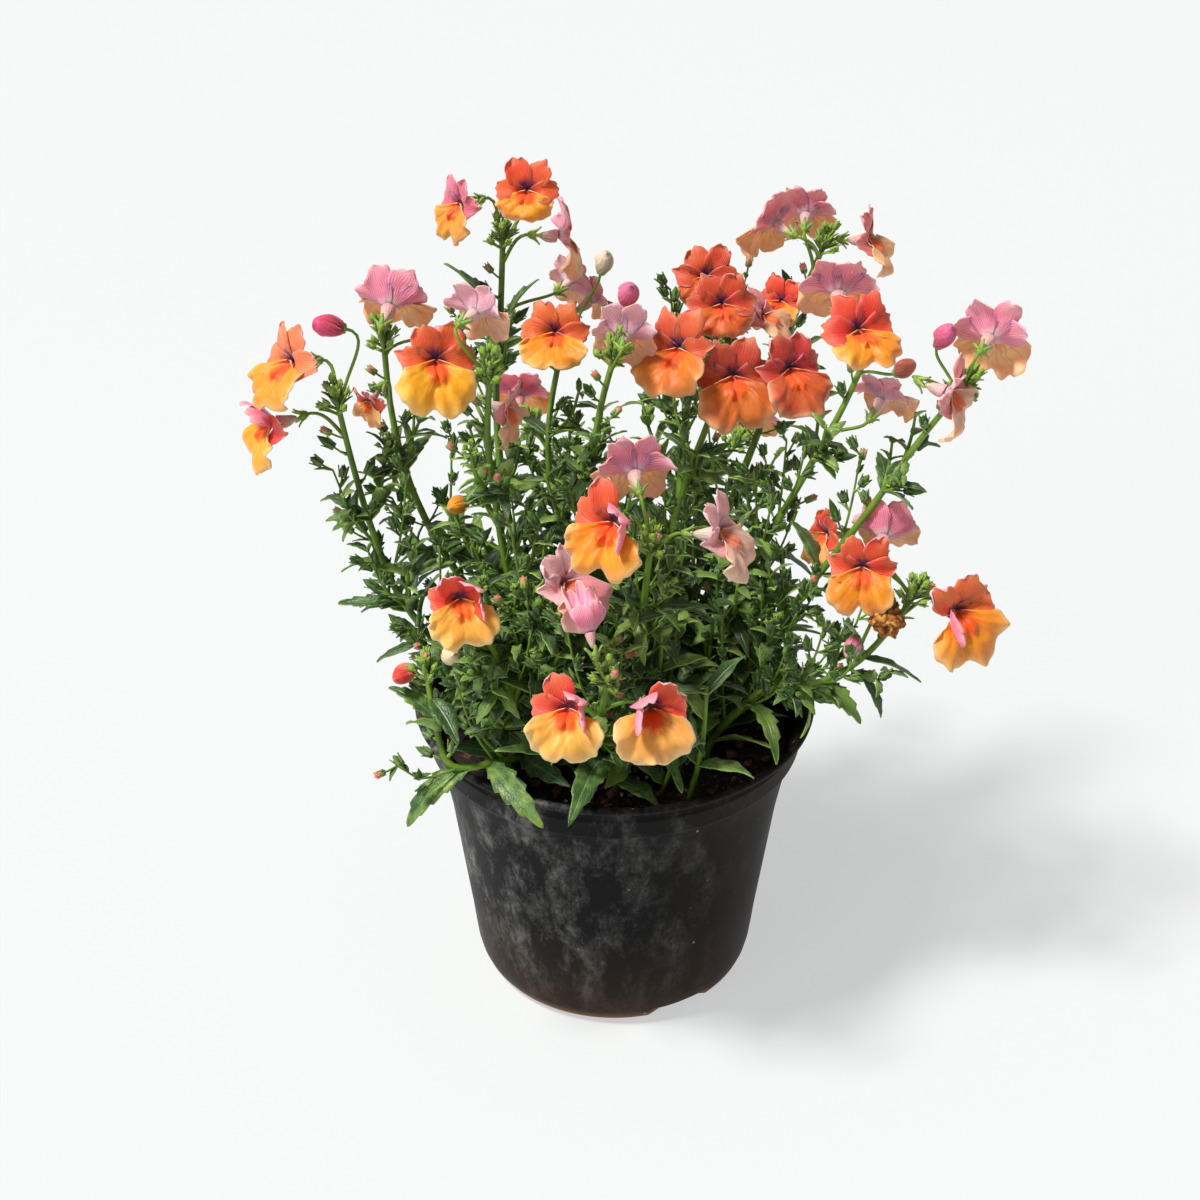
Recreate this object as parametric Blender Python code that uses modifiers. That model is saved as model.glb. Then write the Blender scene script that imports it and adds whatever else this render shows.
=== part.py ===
"""A nemesia in bloom in a black nursery pot, at its real size.

Metres, +Z up, origin on the pot's axis at the surface that it stands on. The plant's front is -Y.
The pot and the compost are turned and cut. Each leafy stem is one green solid: its square stem,
side shoots, toothed leaves, flower stalks, cups, closed buds and seed pods are fused. Each open
bloom is a solid of its own, seated in its green cup.
"""

import math
import random

import bmesh
import bpy
from mathutils import Matrix, Vector, noise
from mathutils.bvhtree import BVHTree

MM = 0.001
SEED = 11
UP = Vector((0, 0, 1))

# Pot: a 12 cm nursery pot, in millimetres
POT_TURNS = 24
POT_HEIGHT = 93.0
RIM_RADIUS = 60.0
RIM_LIP = 2.2
COLLAR_BOTTOM = 80.0
COLLAR_RADIUS = 56.2
LEDGE_RADIUS = 53.6
WALL = 1.3
FLOOR = 1.6
DRAIN_ANGLES = (-60, 60, 180)
DRAIN_STEP = 3.0
DRAIN_WIDTH = 18.0
DRAIN_FROM = 29.0
DRAIN_TO = 50.0
DRAIN_HOLE_RADIUS = 3.2
DRAIN_HOLE_AT = 34.5

# Compost: it fills the pot to about 10 mm below the rim
SOIL_TOP = 82.0
SOIL_BOTTOM = 5.2
SOIL_GAP = 0.4
SOIL_LUMP = 1.8
SOIL_RINGS = 4
ROOT_DEPTH = 10.0
HOLE_GAP = 0.45
HOLE_SIDES = 6

# Colours, linear red, green and blue
BLACK_PLASTIC = (0.012, 0.012, 0.013)
PEAT = (0.035, 0.02, 0.013)
LEAF_GREEN = (0.06, 0.15, 0.035)
CORAL = (0.85, 0.2, 0.03)
PINK = (0.8, 0.3, 0.36)
WITHERED = (0.3, 0.13, 0.03)

# The photograph's camera, in millimetres, for a picture of 1200 x 1200 pixels. A place on the plant
# is given as (pixel x, pixel y, depth), its depth being how far it lies behind the pot's axis.
VIEW_PLACE = Vector((-4.4, -558.0, 450.7))
VIEW_PITCH = math.radians(30.2)
VIEW_FOCAL = 2200.0
VIEW_CENTRE = 600.0

# The plant's pieces, in millimetres and degrees
STEM_RADIUS = 1.8
SHOOT_RADIUS = 1.35
TIP_RADIUS = 0.95
STEM_POINTS = 8
SHOOT_POINTS = 6
STALK_RADIUS = 0.6
STALK_POINTS = 3
LEAF_SPACING = 36.0
POD_SPACING = 80.0
BLADE_THICK = 1.0
SEAT_GAP = 0.3
CLEARANCE = 0.4
SLIDE_STEP = 2.0
SLIDE_TRIES = 24
STALK_SPAN = 12.0
STALK_TRIES = 25
CUP_LENGTH = 3.4
CUP_GRIP = 2.2
BUDS = 2
BUD_REACH = (7.5, 10)
POD_REACH = (11, 16)
SHORT_EDGE = 0.25
FLAT_ANGLE = 0.2
SHARP_ANGLE = 35
OWN_GREEN = ("limb", "cup", "stalk")

# Shares of a limb: where its lowest stalk, its highest leaf pair and its last stalk can grow. The
# last keeps a stalk clear of the limb's end face.
FIRST_STALK = 0.4
LAST_LEAF = 0.74
LAST_SHARE = 0.965

# Half of an open bloom's edge, from the notch between the two middle upper lobes at the top down to
# the notch in the lower lip: the angle round the throat in degrees, and the reach in millimetres.
BLOOM_EDGE = (
    (90, 9.0),
    (72, 11.3),
    (54, 10.9),
    (37, 7.8),
    (19, 9.9),
    (0, 9.2),
    (-17, 5.8),
    (-38, 10.8),
    (-66, 13.0),
    (-90, 11.4),
)
TUBE_LENGTH = 7.0

# Each leafy stem: where it leaves the compost (x, y), then its limbs. The first limb is the list of
# places that it passes; a side limb starts with the share of the first limb at which it branches.
STEMS = {
    "tall": ((-10, 20), [[(520, 560, 34), (497, 430, 46), (500, 330, 53), (503, 232, 57)]]),
    "outer_left": ((-27, -4), [[(448, 655, -14), (395, 588, -12), (360, 490, -8), (336, 398, -6)]]),
    "left": ((-19, 8), [[(478, 600, 0), (425, 520, 4), (395, 430, 8), (383, 335, 12)]]),
    "mid_left": ((-9, -8), [[(520, 610, -14), (497, 510, -15), (487, 430, -13), (490, 368, -12)]]),
    "centre": ((3, 1), [[(596, 560, 4), (593, 450, 8), (616, 350, 8)]]),
    "crown": (
        (13, 9),
        [
            [(665, 570, 14), (690, 470, 20), (716, 400, 28), (728, 350, 34)],
            [0.62, (690, 385, 44), (706, 318, 64)],
        ],
    ),
    "far_right": ((12, 23), [[(715, 540, 42), (770, 400, 58), (800, 300, 66), (826, 240, 70)]]),
    "right": ((24, 7), [[(735, 600, 8), (790, 500, 10), (834, 425, 12), (872, 344, 18)]]),
    "outer_right": ((31, -4), [[(790, 610, -4), (855, 530, -6), (912, 450, -6), (968, 382, -6)]]),
    "front_right": ((8, -14), [[(642, 650, -26), (645, 595, -34), (652, 540, -37)]]),
    "low_left": (
        (-20, -20),
        [
            [(508, 690, -34), (496, 655, -40), (476, 626, -42)],
            [0.55, (535, 650, -33), (550, 600, -36)],
            [0.16, (487, 764, -45), (455, 768, -48), (436, 742, -44), (434, 700, -38), (426, 668, -34)],
        ],
    ),
    "front": ((-2, -28), [[(600, 726, -50), (604, 702, -56), (608, 676, -61)]]),
    "low_right": ((27, -18), [[(765, 690, -16), (830, 680, -20), (880, 640, -20), (918, 590, -16)]]),
    "back": (
        (0, 33),
        [
            [(590, 540, 62), (560, 470, 78), (530, 420, 84)],
            [0.30, (690, 500, 74), (740, 440, 88)],
            [0.22, (560, 520, 36), (548, 440, 38), (560, 355, 42)],
        ],
    ),
}

# Each open bloom: its stem, the limb that bears it, its throat's place, the way it faces (degrees to
# the viewer's right, degrees up), its roll, how far its lower lip juts out (degrees), its size, and
# its age, which runs from fresh coral and orange at 0 to faded pink at 1, and to withered at 2.
BLOOMS = {
    "tall_a": ("tall", 0, (527, 194, 52), (-8, 16), 0, 42, 1.0, 0.05),
    "tall_b": ("tall", 0, (460, 206, 50), (-50, -6), 0, 20, 0.85, 0.5),
    "tall_c": ("tall", 0, (562, 236, 60), (105, -12), 0, 10, 1.05, 0.75),
    "tall_d": ("tall", 0, (570, 282, 72), (150, 0), 0, 10, 0.8, 0.95),
    "outer_left_a": ("outer_left", 0, (290, 364, -6), (-48, 6), 8, 30, 1.1, 0.1),
    "outer_left_b": ("outer_left", 0, (272, 424, -4), (-66, -10), 0, 25, 1.05, 0.3),
    "left_a": ("left", 0, (390, 306, 14), (170, 8), 0, 30, 1.15, 0.65),
    "left_b": ("left", 0, (370, 402, 0), (-40, -35), 0, 20, 0.6, 0.45),
    "mid_left_a": ("mid_left", 0, (436, 364, -14), (14, 12), -8, 12, 1.15, 0.0),
    "mid_left_b": ("mid_left", 0, (476, 312, -2), (150, 0), 0, 15, 0.9, 0.9),
    "mid_left_c": ("mid_left", 0, (506, 410, -6), (70, -20), 0, 10, 0.85, 0.85),
    "behind_a": ("back", 2, (555, 336, 36), (-4, 18), 0, 45, 1.05, 0.1),
    "behind_b": ("back", 2, (592, 300, 60), (130, 10), 0, 15, 0.9, 0.8),
    "centre_a": ("centre", 0, (624, 336, 14), (176, -4), 0, 15, 0.95, 0.9),
    "crown_a": ("crown", 1, (706, 280, 52), (-6, 16), 0, 40, 1.0, 0.0),
    "crown_b": ("crown", 0, (722, 308, 36), (6, 20), 0, 40, 1.05, 0.05),
    "crown_c": ("crown", 0, (678, 352, 18), (-28, 12), 8, 30, 1.15, 0.0),
    "crown_d": ("crown", 0, (733, 380, 13), (8, 10), 0, 20, 1.2, 0.05),
    "crown_e": ("crown", 0, (790, 372, 20), (26, 6), 0, 30, 1.1, 0.2),
    "crown_f": ("crown", 0, (764, 318, 42), (70, 22), 0, 10, 0.9, 0.75),
    "far_right_a": ("far_right", 0, (774, 224, 66), (-140, 2), 0, 10, 1.0, 0.7),
    "far_right_b": ("far_right", 0, (806, 214, 78), (172, 8), 0, 10, 0.95, 0.8),
    "far_right_c": ("far_right", 0, (868, 240, 70), (74, 0), 0, 25, 0.95, 0.65),
    "far_right_d": ("far_right", 0, (780, 304, 58), (-30, 25), 0, 30, 0.85, 0.2),
    "right_a": ("right", 0, (838, 292, 26), (176, 12), 0, 15, 1.2, 0.7),
    "right_b": ("right", 0, (860, 334, 0), (20, 20), 0, 45, 1.15, 0.0),
    "right_c": ("right", 0, (882, 398, 22), (150, 20), 0, 10, 0.95, 0.85),
    "outer_right_a": ("outer_right", 0, (990, 338, -4), (156, -4), 0, 10, 1.1, 0.7),
    "outer_right_b": ("outer_right", 0, (950, 394, -14), (66, -18), 12, 15, 1.05, 0.85),
    "front_right_a": ("front_right", 0, (634, 472, -26), (-172, 4), 0, 15, 1.1, 0.7),
    "front_right_b": ("front_right", 0, (612, 526, -48), (-24, 8), -6, 15, 1.15, 0.05),
    "front_right_c": ("front_right", 0, (720, 534, -36), (72, 4), 0, 20, 1.1, 0.95),
    "low_left_a": ("low_left", 0, (461, 602, -50), (10, 8), 0, 25, 1.0, 0.2),
    "low_left_b": ("low_left", 1, (566, 586, -42), (56, 20), 0, 15, 1.1, 1.0),
    "front_a": ("front", 0, (568, 712, -66), (-8, 16), 0, 15, 1.1, 0.4),
    "front_b": ("front", 0, (650, 712, -68), (12, 14), -6, 15, 1.15, 0.35),
    "front_c": ("front", 0, (589, 628, -56), (-160, 50), 0, 30, 0.8, 0.65),
    "low_right_a": ("low_right", 0, (884, 536, -8), (166, 6), 0, 15, 1.1, 0.6),
    "low_right_b": ("low_right", 0, (862, 570, -22), (-10, 0), 0, 20, 1.0, 0.1),
    "low_right_c": ("outer_right", 0, (826, 536, 2), (-65, 0), 0, 15, 0.8, 0.4),
    "low_right_d": ("low_right", 0, (958, 614, -26), (28, 2), 10, 12, 1.25, 0.05),
    "back_a": ("back", 0, (520, 396, 96), (175, 10), 0, 20, 1.05, 0.1),
    "back_b": ("back", 1, (748, 420, 100), (165, 8), 0, 25, 1.05, 0.3),
    "withered": ("low_right", 0, (887, 628, -34), (-14, -24), 0, 0, 1.0, 2),
}

# The large leaves that show: the stem and limb, the share of the limb where the leaf grows, its
# tip's place, its width, and how far its middle rises above a straight line.
LARGE_LEAVES = (
    ("front", 0, 0.30, (570, 845, -66), 8.5, 5),
    ("front", 0, 0.22, (492, 742, -52), 6.5, 2),
    ("front", 0, 0.45, (672, 752, -56), 5.5, 2),
    ("low_left", 2, 0.42, (546, 826, -62), 8.0, 3),
    ("low_left", 2, 0.50, (408, 828, -52), 7.5, 4),
    ("low_left", 2, 0.80, (388, 688, -34), 6.5, 2),
    ("low_left", 2, 0.88, (462, 742, -50), 6.5, 1),
    ("low_left", 0, 0.62, (424, 640, -46), 6.0, 1),
    ("front_right", 0, 0.30, (690, 790, -52), 6.0, 3),
    ("front_right", 0, 0.45, (712, 752, -48), 6.0, 4),
    ("low_right", 0, 0.34, (770, 764, -40), 6.5, 6),
    ("low_right", 0, 0.55, (862, 722, -24), 7.0, 3),
    ("outer_left", 0, 0.55, (338, 606, -14), 5.5, 1),
    ("outer_left", 0, 0.50, (440, 574, -18), 5.5, 2),
    ("left", 0, 0.58, (416, 600, 6), 8.0, 3),
    ("tall", 0, 0.84, (464, 246, 52), 6.5, 2),
    ("tall", 0, 0.80, (540, 262, 50), 6.5, 2),
    ("mid_left", 0, 0.60, (545, 500, -20), 5.5, 2),
)


def seen(px, py, depth):
    """The place, in millimetres, that shows at a pixel and lies at a depth behind the pot's axis."""
    ahead = Vector((0, math.cos(VIEW_PITCH), -math.sin(VIEW_PITCH)))
    above = Vector((0, math.sin(VIEW_PITCH), math.cos(VIEW_PITCH)))
    ray = ahead * VIEW_FOCAL + Vector((px - VIEW_CENTRE, 0, 0)) + above * (VIEW_CENTRE - py)
    return VIEW_PLACE + ray * ((depth - VIEW_PLACE.y) / ray.y)


def heading(turn, rise):
    """The direction that points some degrees to the viewer's right, and some degrees up."""
    turn, rise = math.radians(turn), math.radians(rise)
    return Vector((math.sin(turn) * math.cos(rise), -math.cos(turn) * math.cos(rise), math.sin(rise)))


def frame_of(way, roll=0.0):
    """A turning matrix whose Z axis points along a way, with its Y axis as near upright as can be."""
    side = UP.cross(way)
    side = Vector((1, 0, 0)) if side.length < 0.05 else side.normalized()
    turned = Matrix((side, way.cross(side), way)).transposed()
    return turned @ Matrix.Rotation(math.radians(roll), 3, "Z")


def along(path, share):
    """The point at a share of a path, and the path's direction there."""
    at = min(max(share, 0.0), 1.0) * (len(path) - 1)
    low = min(int(at), len(path) - 2)
    return path[low].lerp(path[low + 1], at - low), (path[low + 1] - path[low]).normalized()


def smooth_path(knots, count, lead=None):
    """Evenly spaced points along a soft curve through the knots, which may start in a given way."""
    before = knots[0] * 2 - knots[1]
    if lead:
        before = knots[0] - lead * (knots[1] - knots[0]).length
    ends = [before, *knots, knots[-1] * 2 - knots[-2]]
    dense = []
    for a, b, c, d in zip(ends, ends[1:], ends[2:], ends[3:]):
        for step in range(16):
            t = step / 16
            bend = (2 * a - 5 * b + 4 * c - d) * t * t + (3 * b - a - 3 * c + d) * t ** 3
            dense.append((b * 2 + (c - a) * t + bend) / 2)
    dense.append(knots[-1].copy())
    run = [0.0]
    for p, q in zip(dense, dense[1:]):
        run.append(run[-1] + (q - p).length)
    points = []
    at = 0
    for i in range(count):
        want = run[-1] * i / (count - 1)
        while at < len(run) - 2 and run[at + 1] < want:
            at += 1
        share = (want - run[at]) / max(run[at + 1] - run[at], 1e-9)
        points.append(dense[at].lerp(dense[at + 1], min(max(share, 0), 1)))
    return points


def shaped_ball(segments, rings, place, rim=None):
    """A closed skin: a ball whose vertex at (turn, rise) moves to place(turn, rise).

    Rise 0 and rise = rings are the poles. Each four-sided face is split alike on both faces of a
    blade. On a blade that folds over at a rim ring, the split is mirrored past that ring.
    """
    bm = bmesh.new()
    bmesh.ops.create_uvsphere(bm, u_segments=segments, v_segments=rings, radius=1)
    spot = {}
    for vertex in bm.verts:
        rise = round(math.acos(max(-1, min(1, vertex.co.z))) / math.pi * rings)
        turn = round(math.atan2(vertex.co.y, vertex.co.x) / math.tau * segments) % segments
        spot[vertex] = (turn if 0 < rise < rings else 0, rise)
    for face in [face for face in bm.faces if len(face.verts) == 4]:
        corners = sorted(face.verts, key=lambda v: (spot[v][1], spot[v][0] % 2, spot[v][0]))
        folded = rim is not None and spot[corners[0]][1] >= rim
        ends = (corners[1], corners[2]) if folded else (corners[0], corners[3])
        bmesh.utils.face_split(face, *ends)
    for vertex, (turn, rise) in spot.items():
        vertex.co = place(turn, rise)
    face_outwards(bm)
    return bm


def face_outwards(bm):
    """Turns all faces of a closed skin outwards."""
    bmesh.ops.recalc_face_normals(bm, faces=bm.faces)
    if bm.calc_volume(signed=True) < 0:
        bmesh.ops.reverse_faces(bm, faces=bm.faces)


def tube(path, radii):
    """A four-sided stem as a bevelled curve, welded into a closed skin."""
    data = bpy.data.curves.new("stem", "CURVE")
    data.dimensions = "3D"
    data.bevel_depth = 1.0
    data.bevel_resolution = 0
    data.use_fill_caps = True
    spline = data.splines.new("POLY")
    spline.points.add(len(path) - 1)
    for point, place, radius in zip(spline.points, path, radii):
        point.co = (*place, 1)
        point.radius = radius
    curve = bpy.data.objects.new("stem", data)
    bpy.context.scene.collection.objects.link(curve)
    solid = curve.evaluated_get(bpy.context.evaluated_depsgraph_get())
    mesh = bpy.data.meshes.new_from_object(solid)
    bm = bmesh.new()
    bm.from_mesh(mesh)
    bmesh.ops.remove_doubles(bm, verts=bm.verts, dist=0.01)
    bmesh.ops.triangulate(bm, faces=bm.faces)
    face_outwards(bm)
    bpy.data.objects.remove(curve)
    bpy.data.meshes.remove(mesh)
    bpy.data.curves.remove(data)
    return bm


def edge_reach(angle):
    """How far the bloom's edge lies from the throat at an angle in degrees, in millimetres."""
    angle = (angle + 90) % 360 - 90
    angle = angle if angle <= 90 else 180 - angle
    for (high, far), (low, near) in zip(BLOOM_EDGE, BLOOM_EDGE[1:]):
        if angle >= low:
            return near + (far - near) * (angle - low) / (high - low)
    return BLOOM_EDGE[-1][1]


def petal_place(angle, share, size, lip, phase):
    """A point of the open bloom, right, up and forward of its throat.

    The upper lobes cup a little and then lean back. The lower lip bulges forward at its palate,
    juts out by its own angle and falls. Both are waved at the edge.
    """
    turn = math.radians(angle)
    reach = edge_reach(angle) * share * (0.75 + 0.25 * share)
    low = min(max((0.1 - math.sin(turn)) / 0.5, 0), 1)
    jut = math.radians(lip) * low
    high_form = 1.1 * math.sin(math.pi * share) - 3.0 * share ** 2
    low_form = 3.2 * math.sin(0.85 * math.pi * share)
    wave = 0.7 * share ** 2 * math.sin(7 * turn + phase)
    rise = reach * math.sin(turn)
    forward = high_form * (1 - low) + low_form * low + wave - 2.0 * (1 - share) ** 3 - rise * math.sin(jut)
    return Vector((reach * math.cos(turn), rise * math.cos(jut), forward)) * size


def edge_angles():
    """The angles of the bloom's edge points, all the way round from the top notch."""
    half = [angle for angle, reach in BLOOM_EDGE]
    return half + [180 - angle for angle in reversed(half[1:-1])]


def bloom_solid(throat, turned, size, lip, phase):
    """One open bloom: a waved sheet of six lobes that closes behind into the tube."""
    angles = edge_angles()

    def place(turn, rise):
        if rise == 4:
            point = Vector((0, -0.6, -TUBE_LENGTH)) * size
        elif rise == 3:
            point = petal_place(angles[turn], 0.46, size, lip, phase) - Vector((0, 0, 1.1))
        else:
            point = petal_place(angles[turn], (0, 0.55, 1)[rise], size, lip, phase)
        return throat + turned @ point

    return shaped_ball(len(angles), 4, place, rim=2)


def withered_solid(throat, turned, draw):
    """A spent bloom: its petals dried to a crumpled knot on the tube."""

    def place(turn, rise):
        if rise == 5:
            return tube_end(throat, turned, 1.0)
        around, down = math.tau * turn / 8, math.pi * rise / 5
        reach = draw.uniform(3.4, 5.6) if 0 < rise < 4 else draw.uniform(2.0, 3.0)
        reach *= math.sin(down)
        point = Vector((reach * math.cos(around), reach * math.sin(around), 3.4 * math.cos(down) - 1.2))
        return throat + turned @ point

    return shaped_ball(8, 5, place)


def tube_end(throat, turned, size):
    """The tip of the bloom's tube, which is seated in the cup."""
    return throat + turned @ (Vector((0, -0.6, -TUBE_LENGTH)) * size)


def cup_solid(seat, turned):
    """The green cup: five narrow sepals round the tip of the bloom's tube."""

    def place(turn, rise):
        if rise == 0:
            return seat + turned @ Vector((0, 0, -SEAT_GAP))
        if rise == 2:
            return seat + turned @ Vector((0, 0, -CUP_LENGTH))
        angle = math.tau * turn / 10
        reach, forward = (3.0, 2.0) if turn % 2 == 0 else (1.35, -0.9)
        return seat + turned @ Vector((reach * math.cos(angle), reach * math.sin(angle), forward))

    return shaped_ball(10, 2, place)


def blade_solid(root, tip, width, arch, face, large=False):
    """A toothed leaf from its root to its tip, with a midrib below; a large one is folded along it."""
    sides, rings, fold = (4, 7, 0.32) if large else (3, 5, 0.08)
    span = tip - root
    side = span.cross(face).normalized()
    normal = side.cross(span).normalized()

    def place(turn, rise):
        share = rise / rings
        middle = root + span * share + normal * (arch * 4 * share * (1 - share))
        if rise in (0, rings):
            return middle
        broad = width / 2 * math.sin(math.pi * (0.12 + 0.80 * share ** 0.8)) ** 0.8
        tooth = 1.0 if rise % 2 == 0 else 0.74
        broad *= tooth if rise > 1 else 0.85
        if turn % 2 == 0:
            hand = 1 if turn == 0 else -1
            return middle + side * (hand * broad) + normal * (fold * broad) + span * (0.03 * (tooth - 0.74))
        thick = BLADE_THICK * (1.15 - 0.45 * share)
        return middle + normal * (-0.75 * thick if turn == 1 else 0.25 * thick)

    return shaped_ball(sides, rings, place)


def bud_solid(root, tip, bow, fat, swell):
    """A closed bud or a seed pod on its thin stalk, as one spindle."""
    span = tip - root
    turned = frame_of(span.normalized())
    rings = ((0, 0), (0.62, STALK_RADIUS), (0.66, 0.8 * fat), (swell, fat), (1, 0))

    def place(turn, rise):
        share, radius = rings[rise]
        angle = math.tau * turn / 4
        off = Vector((radius * math.cos(angle), radius * math.sin(angle), 0))
        return root + span * share + bow * (4 * share * (1 - share)) + turned @ off

    return shaped_ball(4, len(rings) - 1, place)


class Thicket:
    """All pieces placed so far, so that a new one can be kept clear of the others."""

    def __init__(self):
        self.pieces = []

    def reach_of(self, bm, grow):
        """A skin grown by a clearance, with its box."""
        bm.normal_update()
        points = [v.co + v.normal * grow for v in bm.verts]
        low = Vector([min(p[i] for p in points) for i in range(3)])
        high = Vector([max(p[i] for p in points) for i in range(3)])
        bm.verts.index_update()
        tree = BVHTree.FromPolygons(points, [[v.index for v in face.verts] for face in bm.faces])
        return tree, low, high

    def add(self, bm, owner, kind):
        self.pieces.append((self.reach_of(bm, 0), owner, kind))

    def is_clear(self, bm, allowed=lambda owner, kind: False, gap=CLEARANCE):
        tree, low, high = self.reach_of(bm, gap)
        for (other, other_low, other_high), owner, kind in self.pieces:
            apart = any(low[i] > other_high[i] or high[i] < other_low[i] for i in range(3))
            if not apart and not allowed(owner, kind) and tree.overlap(other):
                return False
        return True


def limb_paths(name):
    """The limbs of a stem as smooth paths; the first starts in the compost, the others on the first."""
    (x, y), limbs = STEMS[name]
    foot, top = Vector((x, y, SOIL_TOP - ROOT_DEPTH)), Vector((x, y, SOIL_TOP + 3))
    paths = [[foot] + smooth_path([top] + [seen(*place) for place in limbs[0]], STEM_POINTS - 1, UP * 0.8)]
    for share, *places in limbs[1:]:
        start = along(paths[0], share)[0]
        paths.append(smooth_path([start] + [seen(*place) for place in places], SHOOT_POINTS))
    return paths


def limb_solid(path, main):
    """A limb that thins towards its tip."""
    first = STEM_RADIUS if main else SHOOT_RADIUS
    count = len(path) - 1
    return tube(path, [first + (TIP_RADIUS - first) * i / count for i in range(len(path))])


def stalk_path(start, leave, seat, back):
    """A bent stalk from a limb to the back of a cup."""
    span = (seat - start).length
    first = start + leave * (0.4 * span)
    last = seat + back * (0.4 * span)
    points = []
    for i in range(STALK_POINTS):
        t = i / (STALK_POINTS - 1)
        u = 1 - t
        points.append(start * u ** 3 + first * 3 * u * u * t + last * 3 * u * t * t + seat * t ** 3)
    return points


def settle_bloom(thicket, name, draw):
    """A bloom and its cup, slid along the line of sight until both are clear of what is there."""
    place, facing, roll, lip, size, age = BLOOMS[name][2:]
    turned = frame_of(heading(*facing), roll)
    phase = draw.uniform(0, math.tau)
    wanted = seen(*place)
    sight = (wanted - VIEW_PLACE).normalized()
    for step in range(SLIDE_TRIES):
        slide = (step + 1) // 2 * SLIDE_STEP * (1 if step % 2 else -1)
        throat = wanted + sight * slide
        if age > 1:
            skin = withered_solid(throat, turned, random.Random(SEED))
        else:
            skin = bloom_solid(throat, turned, size, lip, phase)
        cup = cup_solid(tube_end(throat, turned, size), turned)
        if thicket.is_clear(skin) and thicket.is_clear(cup):
            return skin, cup, throat, turned
        skin.free()
        cup.free()
    raise ValueError(f"no room for bloom {name}")


def stalk_for(thicket, name, path, throat, turned):
    """The stalk that joins the cup behind a bloom to its limb, near a wanted length and from below."""
    stem, size = BLOOMS[name][0], BLOOMS[name][6]
    way = turned.col[2]
    foot = tube_end(throat, turned, size) - way * CUP_GRIP
    choices = []
    for i in range(STALK_TRIES):
        share = FIRST_STALK + (LAST_SHARE - FIRST_STALK) * i / (STALK_TRIES - 1)
        start = along(path, share)[0]
        cost = abs((start - foot).length - STALK_SPAN) + 1.5 * max(0, start.z - foot.z + 2)
        choices.append((cost, share))
    for lean in (0.5, 0.1, 1.0, -0.3):
        for cost, share in sorted(choices)[:STALK_TRIES // 2]:
            start, tangent = along(path, share)
            leave = ((foot - start).normalized() + tangent * lean).normalized()
            points = stalk_path(start, leave, foot, -way)
            stalk = tube(points, [STALK_RADIUS * 1.25] + [STALK_RADIUS] * (STALK_POINTS - 1))
            if thicket.is_clear(stalk, lambda owner, kind: owner == stem and kind in OWN_GREEN):
                return stalk
            stalk.free()
    raise ValueError(f"no way for the stalk of {name}")


def leaf_near(thicket, stem, joint, root, tip, width, arch, face, choices, large=False):
    """A leaf that swings or shortens until it is clear, or None. It may touch its twin's root."""
    axis = face.normalized()
    for swing, rise, length in choices:
        span = Matrix.Rotation(math.radians(swing), 3, axis) @ (tip - root)
        side = span.cross(axis).normalized()
        span = Matrix.Rotation(math.radians(rise), 3, side) @ span * length
        skin = blade_solid(root, root + span, width * length ** 0.5, arch * length, face, large)
        if thicket.is_clear(skin, lambda owner, kind: owner == stem and kind in ("limb", joint)):
            return skin
        skin.free()
    return None


def length_of(path):
    """The length of a path."""
    return sum((q - p).length for p, q in zip(path, path[1:]))


def outwards(tangent, angle):
    """A direction square to a limb, turned about it by an angle."""
    across = tangent.cross(Vector((0.3, 1, 0.2))).normalized()
    return Matrix.Rotation(angle, 3, tangent) @ across


def leaf_pairs(name, number, path, thicket, draw):
    """Opposite leaves along a limb, each pair a quarter turn from the last and smaller higher up."""
    length = length_of(path)
    first = (SOIL_TOP - path[0].z + 7) / length if number == 0 else 0.18
    pairs = max(2, round(length / LEAF_SPACING))
    choices = [
        (swing, rise, fit) for fit in (1, 0.75) for swing in (0, 25, -25, 50, -50) for rise in (0, 25, -25)
    ]
    leaves = []
    for i in range(pairs):
        share = first + (LAST_LEAF - first) * i / (pairs - 1)
        root, tangent = along(path, share)
        quarter = math.radians(90 * i + draw.uniform(-25, 25))
        face = tangent + UP * 0.6
        joint = f"joint_{number}_{i}"
        for hand in (0, math.pi):
            out = outwards(tangent, quarter + hand)
            size = (25 - 11 * share) * draw.uniform(0.85, 1.1)
            tip = root + (out * 0.85 + tangent * 0.45).normalized() * size - UP * (size * 0.22)
            leaf = leaf_near(thicket, name, joint, root, tip, size * 0.29, size * 0.08, face, choices)
            if leaf:
                thicket.add(leaf, name, joint)
                leaves.append(leaf)
    return leaves


def buds_and_pods(name, path, thicket, draw):
    """Seed pods below the blooms of a limb, and closed buds at its top."""
    pods = max(1, round(length_of(path) / POD_SPACING))
    pieces = []
    for i in range(pods + BUDS):
        is_pod = i < pods
        share = 0.62 + 0.26 * i / pods if is_pod else LAST_SHARE - 0.05 * (i - pods)
        spread = 0.8 if is_pod else 0.2 + 0.45 * (i - pods)
        shape = (1.35, 0.86) if is_pod else (1.5, 0.84)
        root, tangent = along(path, share)
        size = draw.uniform(*POD_REACH if is_pod else BUD_REACH)
        for attempt in range(8):
            way = (outwards(tangent, 2.4 * i + 0.8 * attempt) * spread + tangent * 0.6).normalized()
            bud = bud_solid(root, root + way * size, UP * (-0.06 * size), *shape)
            if thicket.is_clear(bud, lambda owner, kind: owner == name and kind in OWN_GREEN):
                thicket.add(bud, name, "bud")
                pieces.append(bud)
                break
            bud.free()
    return pieces


def material(name, colour, roughness):
    """A plain finish of its own for one piece."""
    made = bpy.data.materials.new(name)
    made.use_nodes = True
    shader = made.node_tree.nodes["Principled BSDF"]
    shader.inputs["Base Color"].default_value = (*colour, 1)
    shader.inputs["Roughness"].default_value = roughness
    shader.inputs["Metallic"].default_value = 0.0
    return made


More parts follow.
